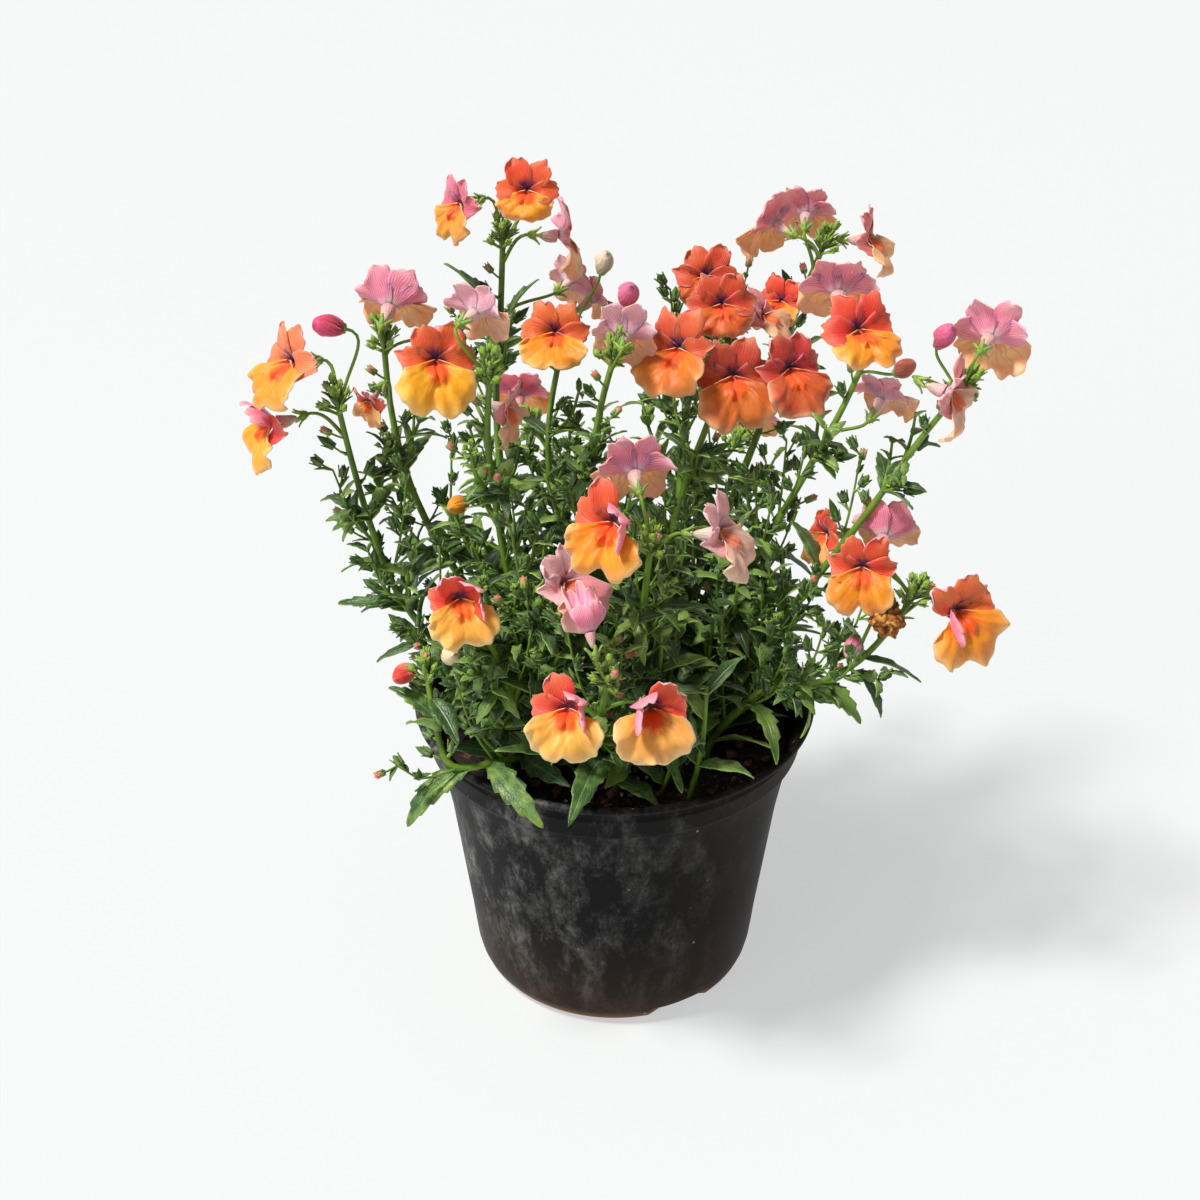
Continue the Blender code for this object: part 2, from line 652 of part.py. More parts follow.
def add_object(name, bm, collection, finish=None):
    """An object in metres from a skin in millimetres."""
    bmesh.ops.scale(bm, vec=(MM, MM, MM), verts=bm.verts)
    mesh = bpy.data.meshes.new(name)
    bm.to_mesh(mesh)
    bm.free()
    mesh.shade_smooth()
    mesh.set_sharp_from_angle(angle=math.radians(SHARP_ANGLE))
    if finish:
        mesh.materials.append(finish)
    thing = bpy.data.objects.new(name, mesh)
    collection.objects.link(thing)
    return thing


def add_cutter(name, bm):
    """A cutter, which isn't part of the model."""
    cutter = add_object(name, bm, cutters)
    cutter.hide_render = True
    cutter.display_type = "WIRE"
    return cutter


def cut(thing, cutter):
    """Takes a cutter away from an object."""
    step = thing.modifiers.new(cutter.name, "BOOLEAN")
    step.operation = "DIFFERENCE"
    step.object = cutter


def turned_profile(points):
    """An outline of (radius, height) points to be turned about Z."""
    bm = bmesh.new()
    made = [bm.verts.new((radius, 0, height)) for radius, height in points]
    for upper, lower in zip(made, made[1:]):
        bm.edges.new((upper, lower))
    return bm


def turn(thing):
    """Turns an outline about Z into a closed body."""
    screw = thing.modifiers.new("turned", "SCREW")
    screw.steps = POT_TURNS
    screw.render_steps = POT_TURNS
    screw.use_merge_vertices = True
    screw.merge_threshold = 0.00001
    screw.use_normal_calculate = True


def box(low, high, angle):
    """A box between two corners, turned about Z."""
    bm = bmesh.new()
    middle = [(a + b) / 2 for a, b in zip(low, high)]
    size = [b - a for a, b in zip(low, high)]
    bmesh.ops.create_cube(bm, size=1, matrix=Matrix.Translation(middle) @ Matrix.Diagonal((*size, 1)))
    bmesh.ops.rotate(bm, matrix=Matrix.Rotation(math.radians(angle), 3, "Z"), verts=bm.verts)
    return bm


def joined(parts):
    """Several skins as one."""
    whole = bmesh.new()
    for part in parts:
        mesh = bpy.data.meshes.new("part")
        part.to_mesh(mesh)
        part.free()
        whole.from_mesh(mesh)
        bpy.data.meshes.remove(mesh)
    return whole


OUTER = (
    (0, POT_HEIGHT),
    (RIM_RADIUS - 0.8, POT_HEIGHT),
    (RIM_RADIUS, POT_HEIGHT - 0.7),
    (RIM_RADIUS - 0.8, POT_HEIGHT - RIM_LIP),
    (COLLAR_RADIUS + 0.3, POT_HEIGHT - RIM_LIP - 0.9),
    (COLLAR_RADIUS, COLLAR_BOTTOM + 1),
    (LEDGE_RADIUS + 0.5, COLLAR_BOTTOM),
    (LEDGE_RADIUS, COLLAR_BOTTOM - 1),
    (50.0, 60.0),
    (44.6, 20.0),
    (43.4, 10.0),
    (41.4, 3.0),
    (38.0, 0.0),
    (0, 0),
)
INNER = (
    (0, POT_HEIGHT + 5),
    (RIM_RADIUS - 2.6, POT_HEIGHT + 5),
    (RIM_RADIUS - 2.9, POT_HEIGHT - 0.6),
    (COLLAR_RADIUS - WALL, POT_HEIGHT - RIM_LIP - 1.2),
    (COLLAR_RADIUS - WALL - 0.3, COLLAR_BOTTOM + 1.5),
    (LEDGE_RADIUS - WALL, COLLAR_BOTTOM - 1.5),
    (50.0 - WALL, 60.0),
    (44.6 - WALL, 20.0),
    (43.2 - WALL, 10.0),
    (40.8 - WALL, 3.8),
    (38.0 - WALL, FLOOR),
    (0, FLOOR),
)


def make_pot():
    """The pot: a solid of its outer outline, less its inside, drain recesses and drain holes.

    The inside stays clear of each recess by the floor's thickness, so the floor steps up over it.
    """
    pot = add_object("pot", turned_profile(OUTER), model, material("black_plastic", BLACK_PLASTIC, 0.5))
    turn(pot)
    inside = add_cutter("pot_inside", turned_profile(INNER))
    turn(inside)
    half = DRAIN_WIDTH / 2
    steps, recesses, holes = [], [], []
    for angle in DRAIN_ANGLES:
        low, high = (DRAIN_FROM - WALL, -half - WALL, -1), (DRAIN_TO, half + WALL, DRAIN_STEP + FLOOR)
        steps.append(box(low, high, angle))
        recesses.append(box((DRAIN_FROM, -half, -1), (DRAIN_TO, half, DRAIN_STEP), angle))
        hole = bmesh.new()
        at = Matrix.Rotation(math.radians(angle), 4, "Z") @ Matrix.Translation((DRAIN_HOLE_AT, 0, DRAIN_STEP))
        size = {"radius1": DRAIN_HOLE_RADIUS, "radius2": DRAIN_HOLE_RADIUS, "depth": 5}
        bmesh.ops.create_cone(hole, cap_ends=True, segments=8, matrix=at, **size)
        holes.append(hole)
    cut(inside, add_cutter("recess_steps", joined(steps)))
    cut(pot, inside)
    cut(pot, add_cutter("drain_recesses", joined(recesses)))
    cut(pot, add_cutter("drain_holes", joined(holes)))


def wall_radius(height):
    """The pot's inner radius at a height."""
    for (wide, high), (slim, low) in zip(INNER[1:], INNER[2:]):
        if low <= height <= high:
            return slim + (wide - slim) * (height - low) / (high - low)
    return INNER[-2][0]


def soil_height(x, y):
    """The crumbly top of the compost, which sinks a little at the pot's wall."""
    lump = noise.fractal(Vector((x, y, 3.7)) / 9, 1.0, 2.0, 2)
    return SOIL_TOP + SOIL_LUMP * max(-1, min(1, lump))


def make_compost():
    """The plug of compost, with a plain hole for each stem."""
    ledge = LEDGE_RADIUS - WALL - SOIL_GAP
    heights = (60, 20, SOIL_BOTTOM)
    sides = [(ledge, COLLAR_BOTTOM - 2)] + [(wall_radius(height) - SOIL_GAP, height) for height in heights]

    def place(turn, rise):
        angle = math.tau * turn / POT_TURNS
        if rise <= SOIL_RINGS:
            radius = ledge * rise / SOIL_RINGS
            x, y = radius * math.cos(angle), radius * math.sin(angle)
            return Vector((x, y, soil_height(x, y) - (1.0 if rise == SOIL_RINGS else 0)))
        radius, height = (*sides, (0, SOIL_BOTTOM))[rise - SOIL_RINGS - 1]
        return Vector((radius * math.cos(angle), radius * math.sin(angle), height))

    earth = shaped_ball(POT_TURNS, SOIL_RINGS + 5, place)
    compost = add_object("compost", earth, model, material("peat_compost", PEAT, 0.95))
    radius = (STEM_RADIUS + HOLE_GAP) / math.cos(math.pi / HOLE_SIDES)
    depth = 2 * ROOT_DEPTH
    shape = {"segments": HOLE_SIDES, "radius1": radius, "radius2": radius, "depth": depth}
    holes = []
    for (x, y), limbs in STEMS.values():
        hole = bmesh.new()
        at = Matrix.Translation((x, y, SOIL_TOP - ROOT_DEPTH - SEAT_GAP + depth / 2))
        bmesh.ops.create_cone(hole, cap_ends=True, matrix=at, **shape)
        holes.append(hole)
    cut(compost, add_cutter("stem_holes", joined(holes)))


def fuse(name, skins, finish):
    """One body from overlapping skins, without sealed hollows or loose scraps."""
    group = bpy.data.collections.new("fusing")
    bpy.context.scene.collection.children.link(group)
    whole = add_object(name, skins[0], model, finish)
    others = [add_object("piece", skin, group) for skin in skins[1:]]
    union = whole.modifiers.new("union", "BOOLEAN")
    union.operation = "UNION"
    union.operand_type = "COLLECTION"
    union.collection = group
    union.solver = "MANIFOLD"
    solid = whole.evaluated_get(bpy.context.evaluated_depsgraph_get())
    mesh = bpy.data.meshes.new_from_object(solid)
    whole.modifiers.remove(union)
    for other in others:
        bpy.data.objects.remove(other)
    bpy.data.collections.remove(group)
    bm = bmesh.new()
    bm.from_mesh(mesh)
    keep_largest(bm)
    bmesh.ops.dissolve_limit(bm, angle_limit=math.radians(FLAT_ANGLE), verts=bm.verts, edges=bm.edges)
    bmesh.ops.triangulate(bm, faces=bm.faces)
    while merge_short_edge(bm):
        pass
    bm.to_mesh(mesh)
    bm.free()
    mesh.shade_smooth()
    mesh.set_sharp_from_angle(angle=math.radians(SHARP_ANGLE))
    mesh.name = name
    whole.data = mesh


def keep_largest(bm):
    """Drops every separate skin but the one with the most vertices."""
    left = set(bm.verts)
    groups = []
    while left:
        start = left.pop()
        group, front = {start}, [start]
        while front:
            for edge in front.pop().link_edges:
                for vertex in edge.verts:
                    if vertex not in group:
                        group.add(vertex)
                        front.append(vertex)
        left -= group
        groups.append(group)
    groups.sort(key=len)
    bmesh.ops.delete(bm, geom=[v for group in groups[:-1] for v in group], context="VERTS")


def turns_over(vertex, other, place):
    """Whether a face of a vertex turns over, or closes up, when the vertex moves to a place."""
    for face in vertex.link_faces:
        if other not in face.verts:
            a, b, c = [place if corner is vertex else corner.co for corner in face.verts]
            if face.normal.dot((b - a).cross(c - a).normalized()) < 0.5:
                return True
    return False


def merge_short_edge(bm):
    """Merges the ends of one very short edge where the skin stays whole; False when none is left."""
    bm.normal_update()
    for edge in sorted(bm.edges, key=lambda edge: edge.calc_length()):
        if edge.calc_length() > SHORT_EDGE * MM:
            return False
        first, second = edge.verts
        around = [{e.other_vert(vertex) for e in vertex.link_edges} for vertex in edge.verts]
        if len(around[0] & around[1]) != 2:
            continue
        for place in (first.co.copy(), second.co.copy(), first.co.lerp(second.co, 0.5)):
            if not turns_over(first, second, place) and not turns_over(second, first, place):
                bmesh.ops.pointmerge(bm, verts=[first, second], merge_co=place)
                return True
    return False


def mix(first, second, share):
    """A colour between two."""
    return tuple(a + (b - a) * share for a, b in zip(first, second))


def pot_and_compost(thicket):
    """Adds the pot and the compost, as they are cut, to what the plant stays clear of."""
    for name in ("pot", "compost"):
        thing = bpy.data.objects[name].evaluated_get(bpy.context.evaluated_depsgraph_get())
        bm = bmesh.new()
        bm.from_mesh(thing.to_mesh())
        bmesh.ops.scale(bm, vec=(1 / MM, 1 / MM, 1 / MM), verts=bm.verts)
        thicket.add(bm, name, "pot")
        bm.free()


def large_leaves(paths, skins, thicket):
    """The large leaves that show in the photograph, each near its own place."""
    swings = (0, 10, -10, 20, -20, 30, -30)
    choices = [(swing, rise, fit) for fit in (1, 0.85) for rise in (0, 12, -12, 24, -24) for swing in swings]
    for stem, limb, share, tip, width, arch in LARGE_LEAVES:
        root, tangent = along(paths[stem][limb], share)
        end = seen(*tip)
        face = UP + tangent * 0.5 - (end - root).normalized() * 0.2 + Vector((0, -0.4, 0))
        joint = f"large_{limb}_{share}"
        leaf = leaf_near(thicket, stem, joint, root, end, width, arch, face, choices, True)
        if leaf:
            thicket.add(leaf, stem, joint)
            skins[stem].append(leaf)


def make_plant():
    """All stems and blooms: limbs first, then blooms, their stalks, leaves, buds and pods."""
    draw = random.Random(SEED)
    thicket = Thicket()
    pot_and_compost(thicket)
    paths = {name: limb_paths(name) for name in STEMS}
    skins = {name: [] for name in STEMS}
    for name in STEMS:
        for number, path in enumerate(paths[name]):
            limb = limb_solid(path, number == 0)
            thicket.add(limb, name, "limb")
            skins[name].append(limb)
    settled = {}
    for name, (stem, *rest) in BLOOMS.items():
        skin, cup, throat, turned = settle_bloom(thicket, name, draw)
        thicket.add(skin, name, "bloom")
        thicket.add(cup, stem, "cup")
        skins[stem].append(cup)
        settled[name] = (skin, throat, turned)
    for name, (stem, limb, *rest) in BLOOMS.items():
        stalk = stalk_for(thicket, name, paths[stem][limb], *settled[name][1:])
        thicket.add(stalk, stem, "stalk")
        skins[stem].append(stalk)
    large_leaves(paths, skins, thicket)
    for name in STEMS:
        for number, path in enumerate(paths[name]):
            skins[name] += leaf_pairs(name, number, path, thicket, draw)
            skins[name] += buds_and_pods(name, path, thicket, draw)
    for name in STEMS:
        fuse(f"stem_{name}", skins[name], material(f"leaf_green_{name}", LEAF_GREEN, 0.5))
    for name, (*rest, age) in BLOOMS.items():
        colour = mix(CORAL, PINK, age) if age <= 1 else WITHERED
        add_object(f"bloom_{name}", settled[name][0], model, material(f"petal_{name}", colour, 0.55))


for thing in list(bpy.data.objects):
    bpy.data.objects.remove(thing)
model = bpy.data.collections.new("potted_nemesia")
cutters = bpy.data.collections.new("cutters")
for collection in (model, cutters):
    bpy.context.scene.collection.children.link(collection)
make_pot()
make_compost()
make_plant()
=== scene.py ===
"""A nemesia in bloom in its black nursery pot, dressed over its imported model.

The script follows the plant as it is put together: the pot, the compost, the stems, the leaves and
buds, then the blooms. Shapes are worked out in millimetres in the model's own frame, and each
finished piece is in metres with its place in its mesh.
"""

import math
import random
from functools import partial

import bmesh
import bpy
from mathutils import Matrix, Vector, noise
from mathutils.bvhtree import BVHTree
from mathutils.geometry import interpolate_bezier


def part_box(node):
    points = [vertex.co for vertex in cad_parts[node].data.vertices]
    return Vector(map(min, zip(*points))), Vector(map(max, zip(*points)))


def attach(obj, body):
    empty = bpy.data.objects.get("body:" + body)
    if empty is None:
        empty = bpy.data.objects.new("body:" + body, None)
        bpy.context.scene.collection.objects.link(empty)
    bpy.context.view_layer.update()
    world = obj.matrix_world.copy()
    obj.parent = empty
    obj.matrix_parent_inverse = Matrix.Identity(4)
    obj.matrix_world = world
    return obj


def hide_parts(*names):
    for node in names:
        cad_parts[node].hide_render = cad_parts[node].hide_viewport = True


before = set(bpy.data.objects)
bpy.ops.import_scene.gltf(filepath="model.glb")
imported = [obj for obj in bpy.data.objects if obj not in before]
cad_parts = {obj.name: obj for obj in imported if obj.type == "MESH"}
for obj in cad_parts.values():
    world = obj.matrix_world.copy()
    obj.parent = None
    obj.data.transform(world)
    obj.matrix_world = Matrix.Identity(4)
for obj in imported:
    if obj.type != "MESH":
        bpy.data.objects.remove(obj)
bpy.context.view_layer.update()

# The pot
# A 12 cm nursery pot of black polypropylene, moulded in one piece: a rolled rim, a collar that keeps
# stacked pots apart, and three recesses at the foot that let water away from the drain holes.

MM = 0.001
POT_TURNS = 144
WALL = 1.3
FLOOR = 1.6
RIM_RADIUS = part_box("pot")[1].x / MM
POT_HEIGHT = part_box("pot")[1].z / MM
DRAIN_ANGLES = (-60, 60, 180)
DRAIN_STEP = 3.0
DRAIN_FROM = 29.0
DRAIN_HALF = 9.0
DRAIN_SOFT = 1.6
DRAIN_HOLE_AT = 34.5
DRAIN_HOLE_RADIUS = 3.2
DRAIN_HOLE_DEPTH = 6
INSIDE_RADIUS = 43
INSIDE_HIGH = 4
# The pot's outline as (radius, height): the rolled rim, from the pot's own radius and height, then the
# wall, the underside's radii, and the inside from its middle up to the rim.
ROLLED_RIM = ((-2.2, -0.3), (-1.2, 0), (-0.4, -0.25), (0, -0.9), (-0.2, -1.7), (-0.9, -2.3), (-3.1, -3.0))
POT_WALL = (
    (56.3, 89.0), (56.2, 86.6), (56.45, 86.2), (56.2, 85.8), (56.2, 81.2), (55.9, 80.4), (55.0, 80.0),
    (54.0, 79.8), (53.6, 79.0), (52.0, 70.5), (50.0, 60.0), (47.3, 40.0), (44.6, 20.0), (44.0, 14.5),
    (43.3, 9.0), (42.5, 5.6), (41.4, 3.0), (40.0, 1.1),
)
POT_UNDERSIDE = (38.0, 35.5, 33.0, 31.0, 29.5, 28.0, 26.5, 14.0, 0.0)
POT_INSIDE = (
    (0.0, FLOOR), (25.0, FLOOR), (28.0, FLOOR), (31.0, FLOOR), (36.7, FLOOR), (39.5, 3.8), (41.9, 10.0),
    (43.3, 20.0), (48.7, 60.0), (52.3, 78.5), (54.4, 81.4), (54.9, 84.0), (54.9, 89.2), (56.6, 91.4),
)
POT_BLACK = "#09090b"
POT_RIGHT_BROWN = "#241a12"
POT_DUST_AND_HIGHLIGHT = "#7b7a76"
POT_EARTH = "#3f2e22"
POT_RUST = "#84552c"
POT_GRIT = "#a89c8e"


def to_linear(code):
    """An sRGB hex colour as linear red, green, blue and alpha."""
    parts = [int(code[i : i + 2], 16) / 255 for i in (1, 3, 5)]
    return (*(c / 12.92 if c <= 0.04045 else ((c + 0.055) / 1.055) ** 2.4 for c in parts), 1)


def fill(node, values):
    """Sets a node's inputs, by name or in order: each a value, a hex colour, an output or a node."""
    for key, value in values.items() if isinstance(values, dict) else enumerate(values):
        value = value.outputs[0] if isinstance(value, bpy.types.Node) else value
        if isinstance(value, bpy.types.NodeSocket):
            node.id_data.links.new(value, node.inputs[key])
        else:
            node.inputs[key].default_value = to_linear(value) if isinstance(value, str) else value


def add_node(tree, kind, values=(), stops=(), **settings):
    """Adds a shader node. A ramp's stops are places with a grey, a hex or a linear colour each."""
    made = tree.nodes.new(f"ShaderNode{kind}")
    for key, value in settings.items():
        setattr(made, key, value)
    fill(made, values)
    for at, (place, value) in enumerate(stops):
        stop = made.color_ramp.elements[at] if at < 2 else made.color_ramp.elements.new(place)
        stop.position = place
        value = to_linear(value) if isinstance(value, str) else value
        stop.color = value if isinstance(value, tuple) else (value, value, value, 1)
    return made


def new_material(name, values):
    """A material with even values on its shader; gives it, the shader and a call that adds a node."""
    made = bpy.data.materials.new(name)
    made.use_nodes = True
    shader = made.node_tree.nodes["Principled BSDF"]
    fill(shader, values)
    return made, shader, partial(add_node, made.node_tree)


def coat(shader, colour, bumps, strength, depth):
    """Gives a shader its colour, and a fine relief from bumps of some strength and depth in metres."""
    relief = add_node(shader.id_data, "Bump", {"Height": bumps, "Strength": strength, "Distance": depth})
    fill(shader, {"Base Color": colour, "Normal": relief})


def placed(name, data):
    """Puts a new object with its data in the scene."""
    made = bpy.data.objects.new(name, data)
    bpy.context.scene.collection.objects.link(made)
    return made


def solid_of(name, bm):
    """An object in metres from a mesh in millimetres."""
    bmesh.ops.scale(bm, vec=(MM, MM, MM), verts=bm.verts)
    mesh = bpy.data.meshes.new(name)
    bm.to_mesh(mesh)
    bm.free()
    return placed(name, mesh)


def finish_piece(name, bm, materials, nodes=(), thick=0.0):
    """Makes a piece from a mesh in millimetres; thin sheets get their thickness behind."""
    piece = solid_of(name, bm)
    piece.data.shade_smooth()
    for item in materials:
        piece.data.materials.append(item)
    if thick:
        wall = piece.modifiers.new("thickness", "SOLIDIFY")
        wall.thickness = thick * MM
        wall.offset = -1
        wall.material_offset = 1
        wall.material_offset_rim = 1
    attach(piece, "root")
    for node in nodes:
        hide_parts(node)
    return piece


def spun(profile, turns):
    """A closed skin from an outline of (radius, height) points turned about Z."""
    bm = bmesh.new()
    made = [bm.verts.new((radius, 0, height)) for radius, height in profile]
    edges = [bm.edges.new(pair) for pair in zip(made, made[1:])]
    turn = {"cent": (0, 0, 0), "axis": (0, 0, 1), "angle": math.tau, "steps": turns, "use_merge": True}
    bmesh.ops.spin(bm, geom=made + edges, **turn)
    bmesh.ops.remove_doubles(bm, verts=bm.verts, dist=0.001)
    bmesh.ops.recalc_face_normals(bm, faces=bm.faces)
    return bm


def smooth_step(low, high, value):
    """Runs softly from 0 at low to 1 at high."""
    share = min(max((value - low) / (high - low), 0), 1)
    return share * share * (3 - 2 * share)


rim = [(RIM_RADIUS + out, POT_HEIGHT + up) for out, up in ROLLED_RIM]
pot_mesh = spun((*POT_INSIDE, *rim, *POT_WALL, *((radius, 0.0) for radius in POT_UNDERSIDE)), POT_TURNS)
for vertex in pot_mesh.verts:
    inner = FLOOR - 0.1 < vertex.co.z < INSIDE_HIGH and vertex.co.xy.length < INSIDE_RADIUS
    step, grow = (DRAIN_STEP + FLOOR, WALL) if inner else (DRAIN_STEP, 0)
    for angle in DRAIN_ANGLES:
        local = Matrix.Rotation(-math.radians(angle), 3, "Z") @ vertex.co
        near, half = DRAIN_FROM - grow, DRAIN_HALF + grow
        lift = smooth_step(near - DRAIN_SOFT, near + DRAIN_SOFT, local.x)
        lift *= smooth_step(half + DRAIN_SOFT, half - DRAIN_SOFT, abs(local.y))
        vertex.co.z = max(vertex.co.z, step * lift)

black, shader, add = new_material(
    "polypropylene_moulded_black",
    {"IOR": 1.49, "Specular IOR Level": 0.05, "Coat Weight": 0.03, "Coat Roughness": 0.15},
)
# Moulded black polypropylene with a satin skin. Dried splashes leave dust in cloudy patches, mostly on
# the left, where they are also a painted highlight on the lit side. The right side is tinted browner,
# earth clings round the foot, and grit leaves pale specks.
place = add("TexCoord").outputs["Object"]
axes = add("SeparateXYZ", [place]).outputs
across = add("Mapping", {"Vector": place, "Scale": (1.0, 1.0, 0.55)})
cloud = add("TexNoise", {"Vector": across, "Scale": 95, "Detail": 9, "Roughness": 0.8})
# Painted highlight: the dust patches are strongest on the lit left side and fade towards the right.
left = add("MapRange", [axes["X"], 0.035, -0.04, 0.12])
spread = add("ValToRGB", [cloud], [(0.47, 0.03), (0.55, 0.28), (0.64, 0.85)])
dust_and_highlight = add("Math", [left, spread], operation="MULTIPLY")
# The right side is tinted browner.
right = add("MapRange", [axes["X"], 0.0, 0.05, 0.0, 0.55])
grit = add("TexVoronoi", {"Vector": place, "Scale": 210})
chance = add("SeparateXYZ", [grit.outputs["Color"]])
rare = add("MapRange", [chance, 0.6, 1.0])
points = add("ValToRGB", [grit], [(0.03, 0.9), (0.12, 0.0)])
specks = add("Math", [rare, points], operation="MULTIPLY")
low = add("MapRange", [axes["Z"], 0.04, 0.002, 0.0, 1.2])
muddy = add("Math", [low, cloud], operation="MULTIPLY")
edge = add("MapRange", [axes["Z"], 0.005, 0.0012, 0.0, 0.9])
colour = POT_BLACK
layers = ((right, POT_RIGHT_BROWN), (dust_and_highlight, POT_DUST_AND_HIGHLIGHT), (muddy, POT_EARTH), (edge, POT_RUST), (specks, POT_GRIT))
for factor, layer in layers:
    colour = add("Mix", {0: factor, 6: colour, 7: layer}, data_type="RGBA").outputs[2]
fill(shader, {"Roughness": add("MapRange", [cloud, 0.0, 1.0, 0.25, 0.75])})
fine = add("TexNoise", {"Vector": place, "Scale": 700, "Detail": 3})
coat(shader, colour, fine, 0.12, 0.0004)

holes = bmesh.new()
for angle in DRAIN_ANGLES:
    at = Matrix.Rotation(math.radians(angle), 4, "Z") @ Matrix.Translation((DRAIN_HOLE_AT, 0, DRAIN_STEP))
    hole = dict.fromkeys(("radius1", "radius2"), DRAIN_HOLE_RADIUS)
    bmesh.ops.create_cone(holes, cap_ends=True, segments=20, depth=DRAIN_HOLE_DEPTH, matrix=at, **hole)
drill = solid_of("drill", holes)
pot = finish_piece("nursery_pot", pot_mesh, [black], ["pot"])
drilled = pot.modifiers.new("drain_holes", "BOOLEAN")
drilled.operation = "DIFFERENCE"
drilled.object = drill
drilled_mesh = bpy.data.meshes.new_from_object(pot.evaluated_get(bpy.context.evaluated_depsgraph_get()))
pot.modifiers.remove(drilled)
pot.data = drilled_mesh
bpy.data.objects.remove(drill)

# The compost
# Peat compost with composted bark and a little perlite, watered and settled to about 10 mm below the
# rim. It is moist and nearly black, with reddish bark bits and pale grains on its top.

SOIL_TOP = 82.0
SOIL_BOTTOM = 5.2
SOIL_LUMP = 1.8
SOIL_CRUMB = 0.9
SOIL_RINGS = 34
SOIL_TURNS = 96
LEDGE_RADIUS = 51.9
SOIL_SIDE = ((51.9, 78.0), (48.3, 60.0), (42.9, 20.0), (39.9, SOIL_BOTTOM), (0.0, SOIL_BOTTOM))
PEAT = "#2a1d16"
PEAT_DARK = "#120c0a"
BARK = "#7d5340"
PERLITE = "#d8cfc2"
# Each kind of loose grain: its count, least and greatest size, flatness and colour.
GRAINS = {
    "peat_crumbs": (700, 0.5, 1.7, 0.7, PEAT),
    "bark_bits": (200, 0.7, 2.4, 0.4, BARK),
    "perlite_grains": (70, 0.4, 1.0, 0.8, PERLITE),
}


def soil_height(x, y):
    """The crumbly top of the compost."""
    lump = noise.fractal(Vector((x, y, 3.7)) / 9, 1.0, 2.0, 2)
    return SOIL_TOP + SOIL_LUMP * max(-1, min(1, lump))


rings = [(LEDGE_RADIUS * i / SOIL_RINGS, SOIL_TOP) for i in range(SOIL_RINGS + 1)]
earth = spun((*rings, *SOIL_SIDE), SOIL_TURNS)
for vertex in earth.verts:
    x, y, z = vertex.co
    if z > SOIL_TOP - 1:
        crumb = noise.fractal(Vector((x, y, 1.3)) / 2.4, 1.0, 2.0, 3)
        sunk = smooth_step(LEDGE_RADIUS - 5, LEDGE_RADIUS, vertex.co.xy.length)
        vertex.co.z = soil_height(x, y) + SOIL_CRUMB * crumb - sunk

peat, shader, add = new_material("peat_compost_moist", {"IOR": 1.4, "Roughness": 0.92})
# Moist peat: dark, matt, and broken into crumbs of 1 to 3 mm.
place = add("TexCoord").outputs["Object"]
crumbs = add("TexVoronoi", {"Vector": place, "Scale": 480})
mottle = add("TexNoise", {"Vector": place, "Scale": 330, "Detail": 5, "Roughness": 0.7})
tone = add("ValToRGB", [mottle], [(0.3, PEAT_DARK), (0.55, PEAT), (0.78, BARK)])
coat(shader, tone, crumbs, 0.9, 0.0012)
finish_piece("compost_plug", earth, [peat], ["compost"])

grain_draw = random.Random(5)
for name, (count, small, large, flat, code) in GRAINS.items():
    grain, shader, add = new_material(name, {"IOR": 1.45, "Roughness": 0.88})
    # Crumbs, bark and perlite are all matt; each piece varies a little in tone.
    place = add("TexCoord").outputs["Object"]
    mottle = add("TexNoise", {"Vector": place, "Scale": 260, "Detail": 3})
    dark = tuple(0.35 * c for c in to_linear(code)[:3]) + (1,)
    fill(shader, {"Base Color": add("ValToRGB", [mottle], [(0.35, dark), (0.65, code)])})
    grains = bmesh.new()
    for i in range(count):
        angle, radius = grain_draw.uniform(0, math.tau), (LEDGE_RADIUS - 2) * math.sqrt(grain_draw.random())
        x, y = radius * math.cos(angle), radius * math.sin(angle)
        size = grain_draw.uniform(small, large)
        turned = Matrix.Rotation(grain_draw.uniform(0, math.tau), 4, (1, grain_draw.uniform(-1, 1), 0.4))
        shape = Matrix.Diagonal((1, grain_draw.uniform(0.5, 0.9), flat, 1))
        at = Matrix.Translation((x, y, soil_height(x, y) + 0.25 * size)) @ turned @ shape
        for vertex in bmesh.ops.create_icosphere(grains, subdivisions=1, radius=size, matrix=at)["verts"]:
            vertex.co += Vector([grain_draw.uniform(-0.22, 0.22) * size for axis in range(3)])
    finish_piece(name, grains, [grain])

# The stems
# Fourteen square green stems rise from the compost, some with side limbs. Each bloom hangs in front
# of its limb on a thin stalk. The places are read off the photograph as pixels with a depth behind
# the pot's axis, through a camera at the photograph's own place.

SEED = 11
GROUND = "ground"
YOUNG = "young"
UP = Vector((0, 0, 1))
VIEW_PLACE = Vector((-4.4, -558.0, 450.7))
VIEW_PITCH = math.radians(30.2)
VIEW_FOCAL = 2200.0
VIEW_CENTRE = 600.0
AHEAD = Vector((0, math.cos(VIEW_PITCH), -math.sin(VIEW_PITCH)))
ABOVE = Vector((0, math.sin(VIEW_PITCH), math.cos(VIEW_PITCH)))
ROOT_DEPTH = 10.0
STEM_RADIUS = 1.4
SHOOT_RADIUS = 1.15
TIP_RADIUS = 0.75
STEM_POINTS = 8
SHOOT_POINTS = 6
STALK_RADIUS = 0.5
STALK_SPAN = 12.0
STALK_TRIES = 25
TUBE_LENGTH = 7.0
CUP_GRIP = 2.2
FIRST_STALK = 0.4
LAST_SHARE = 0.965
STALK_SLACK = 0.15
# A sheet's material: the first or the second of its piece.
FRONT = 0
BACK = 1

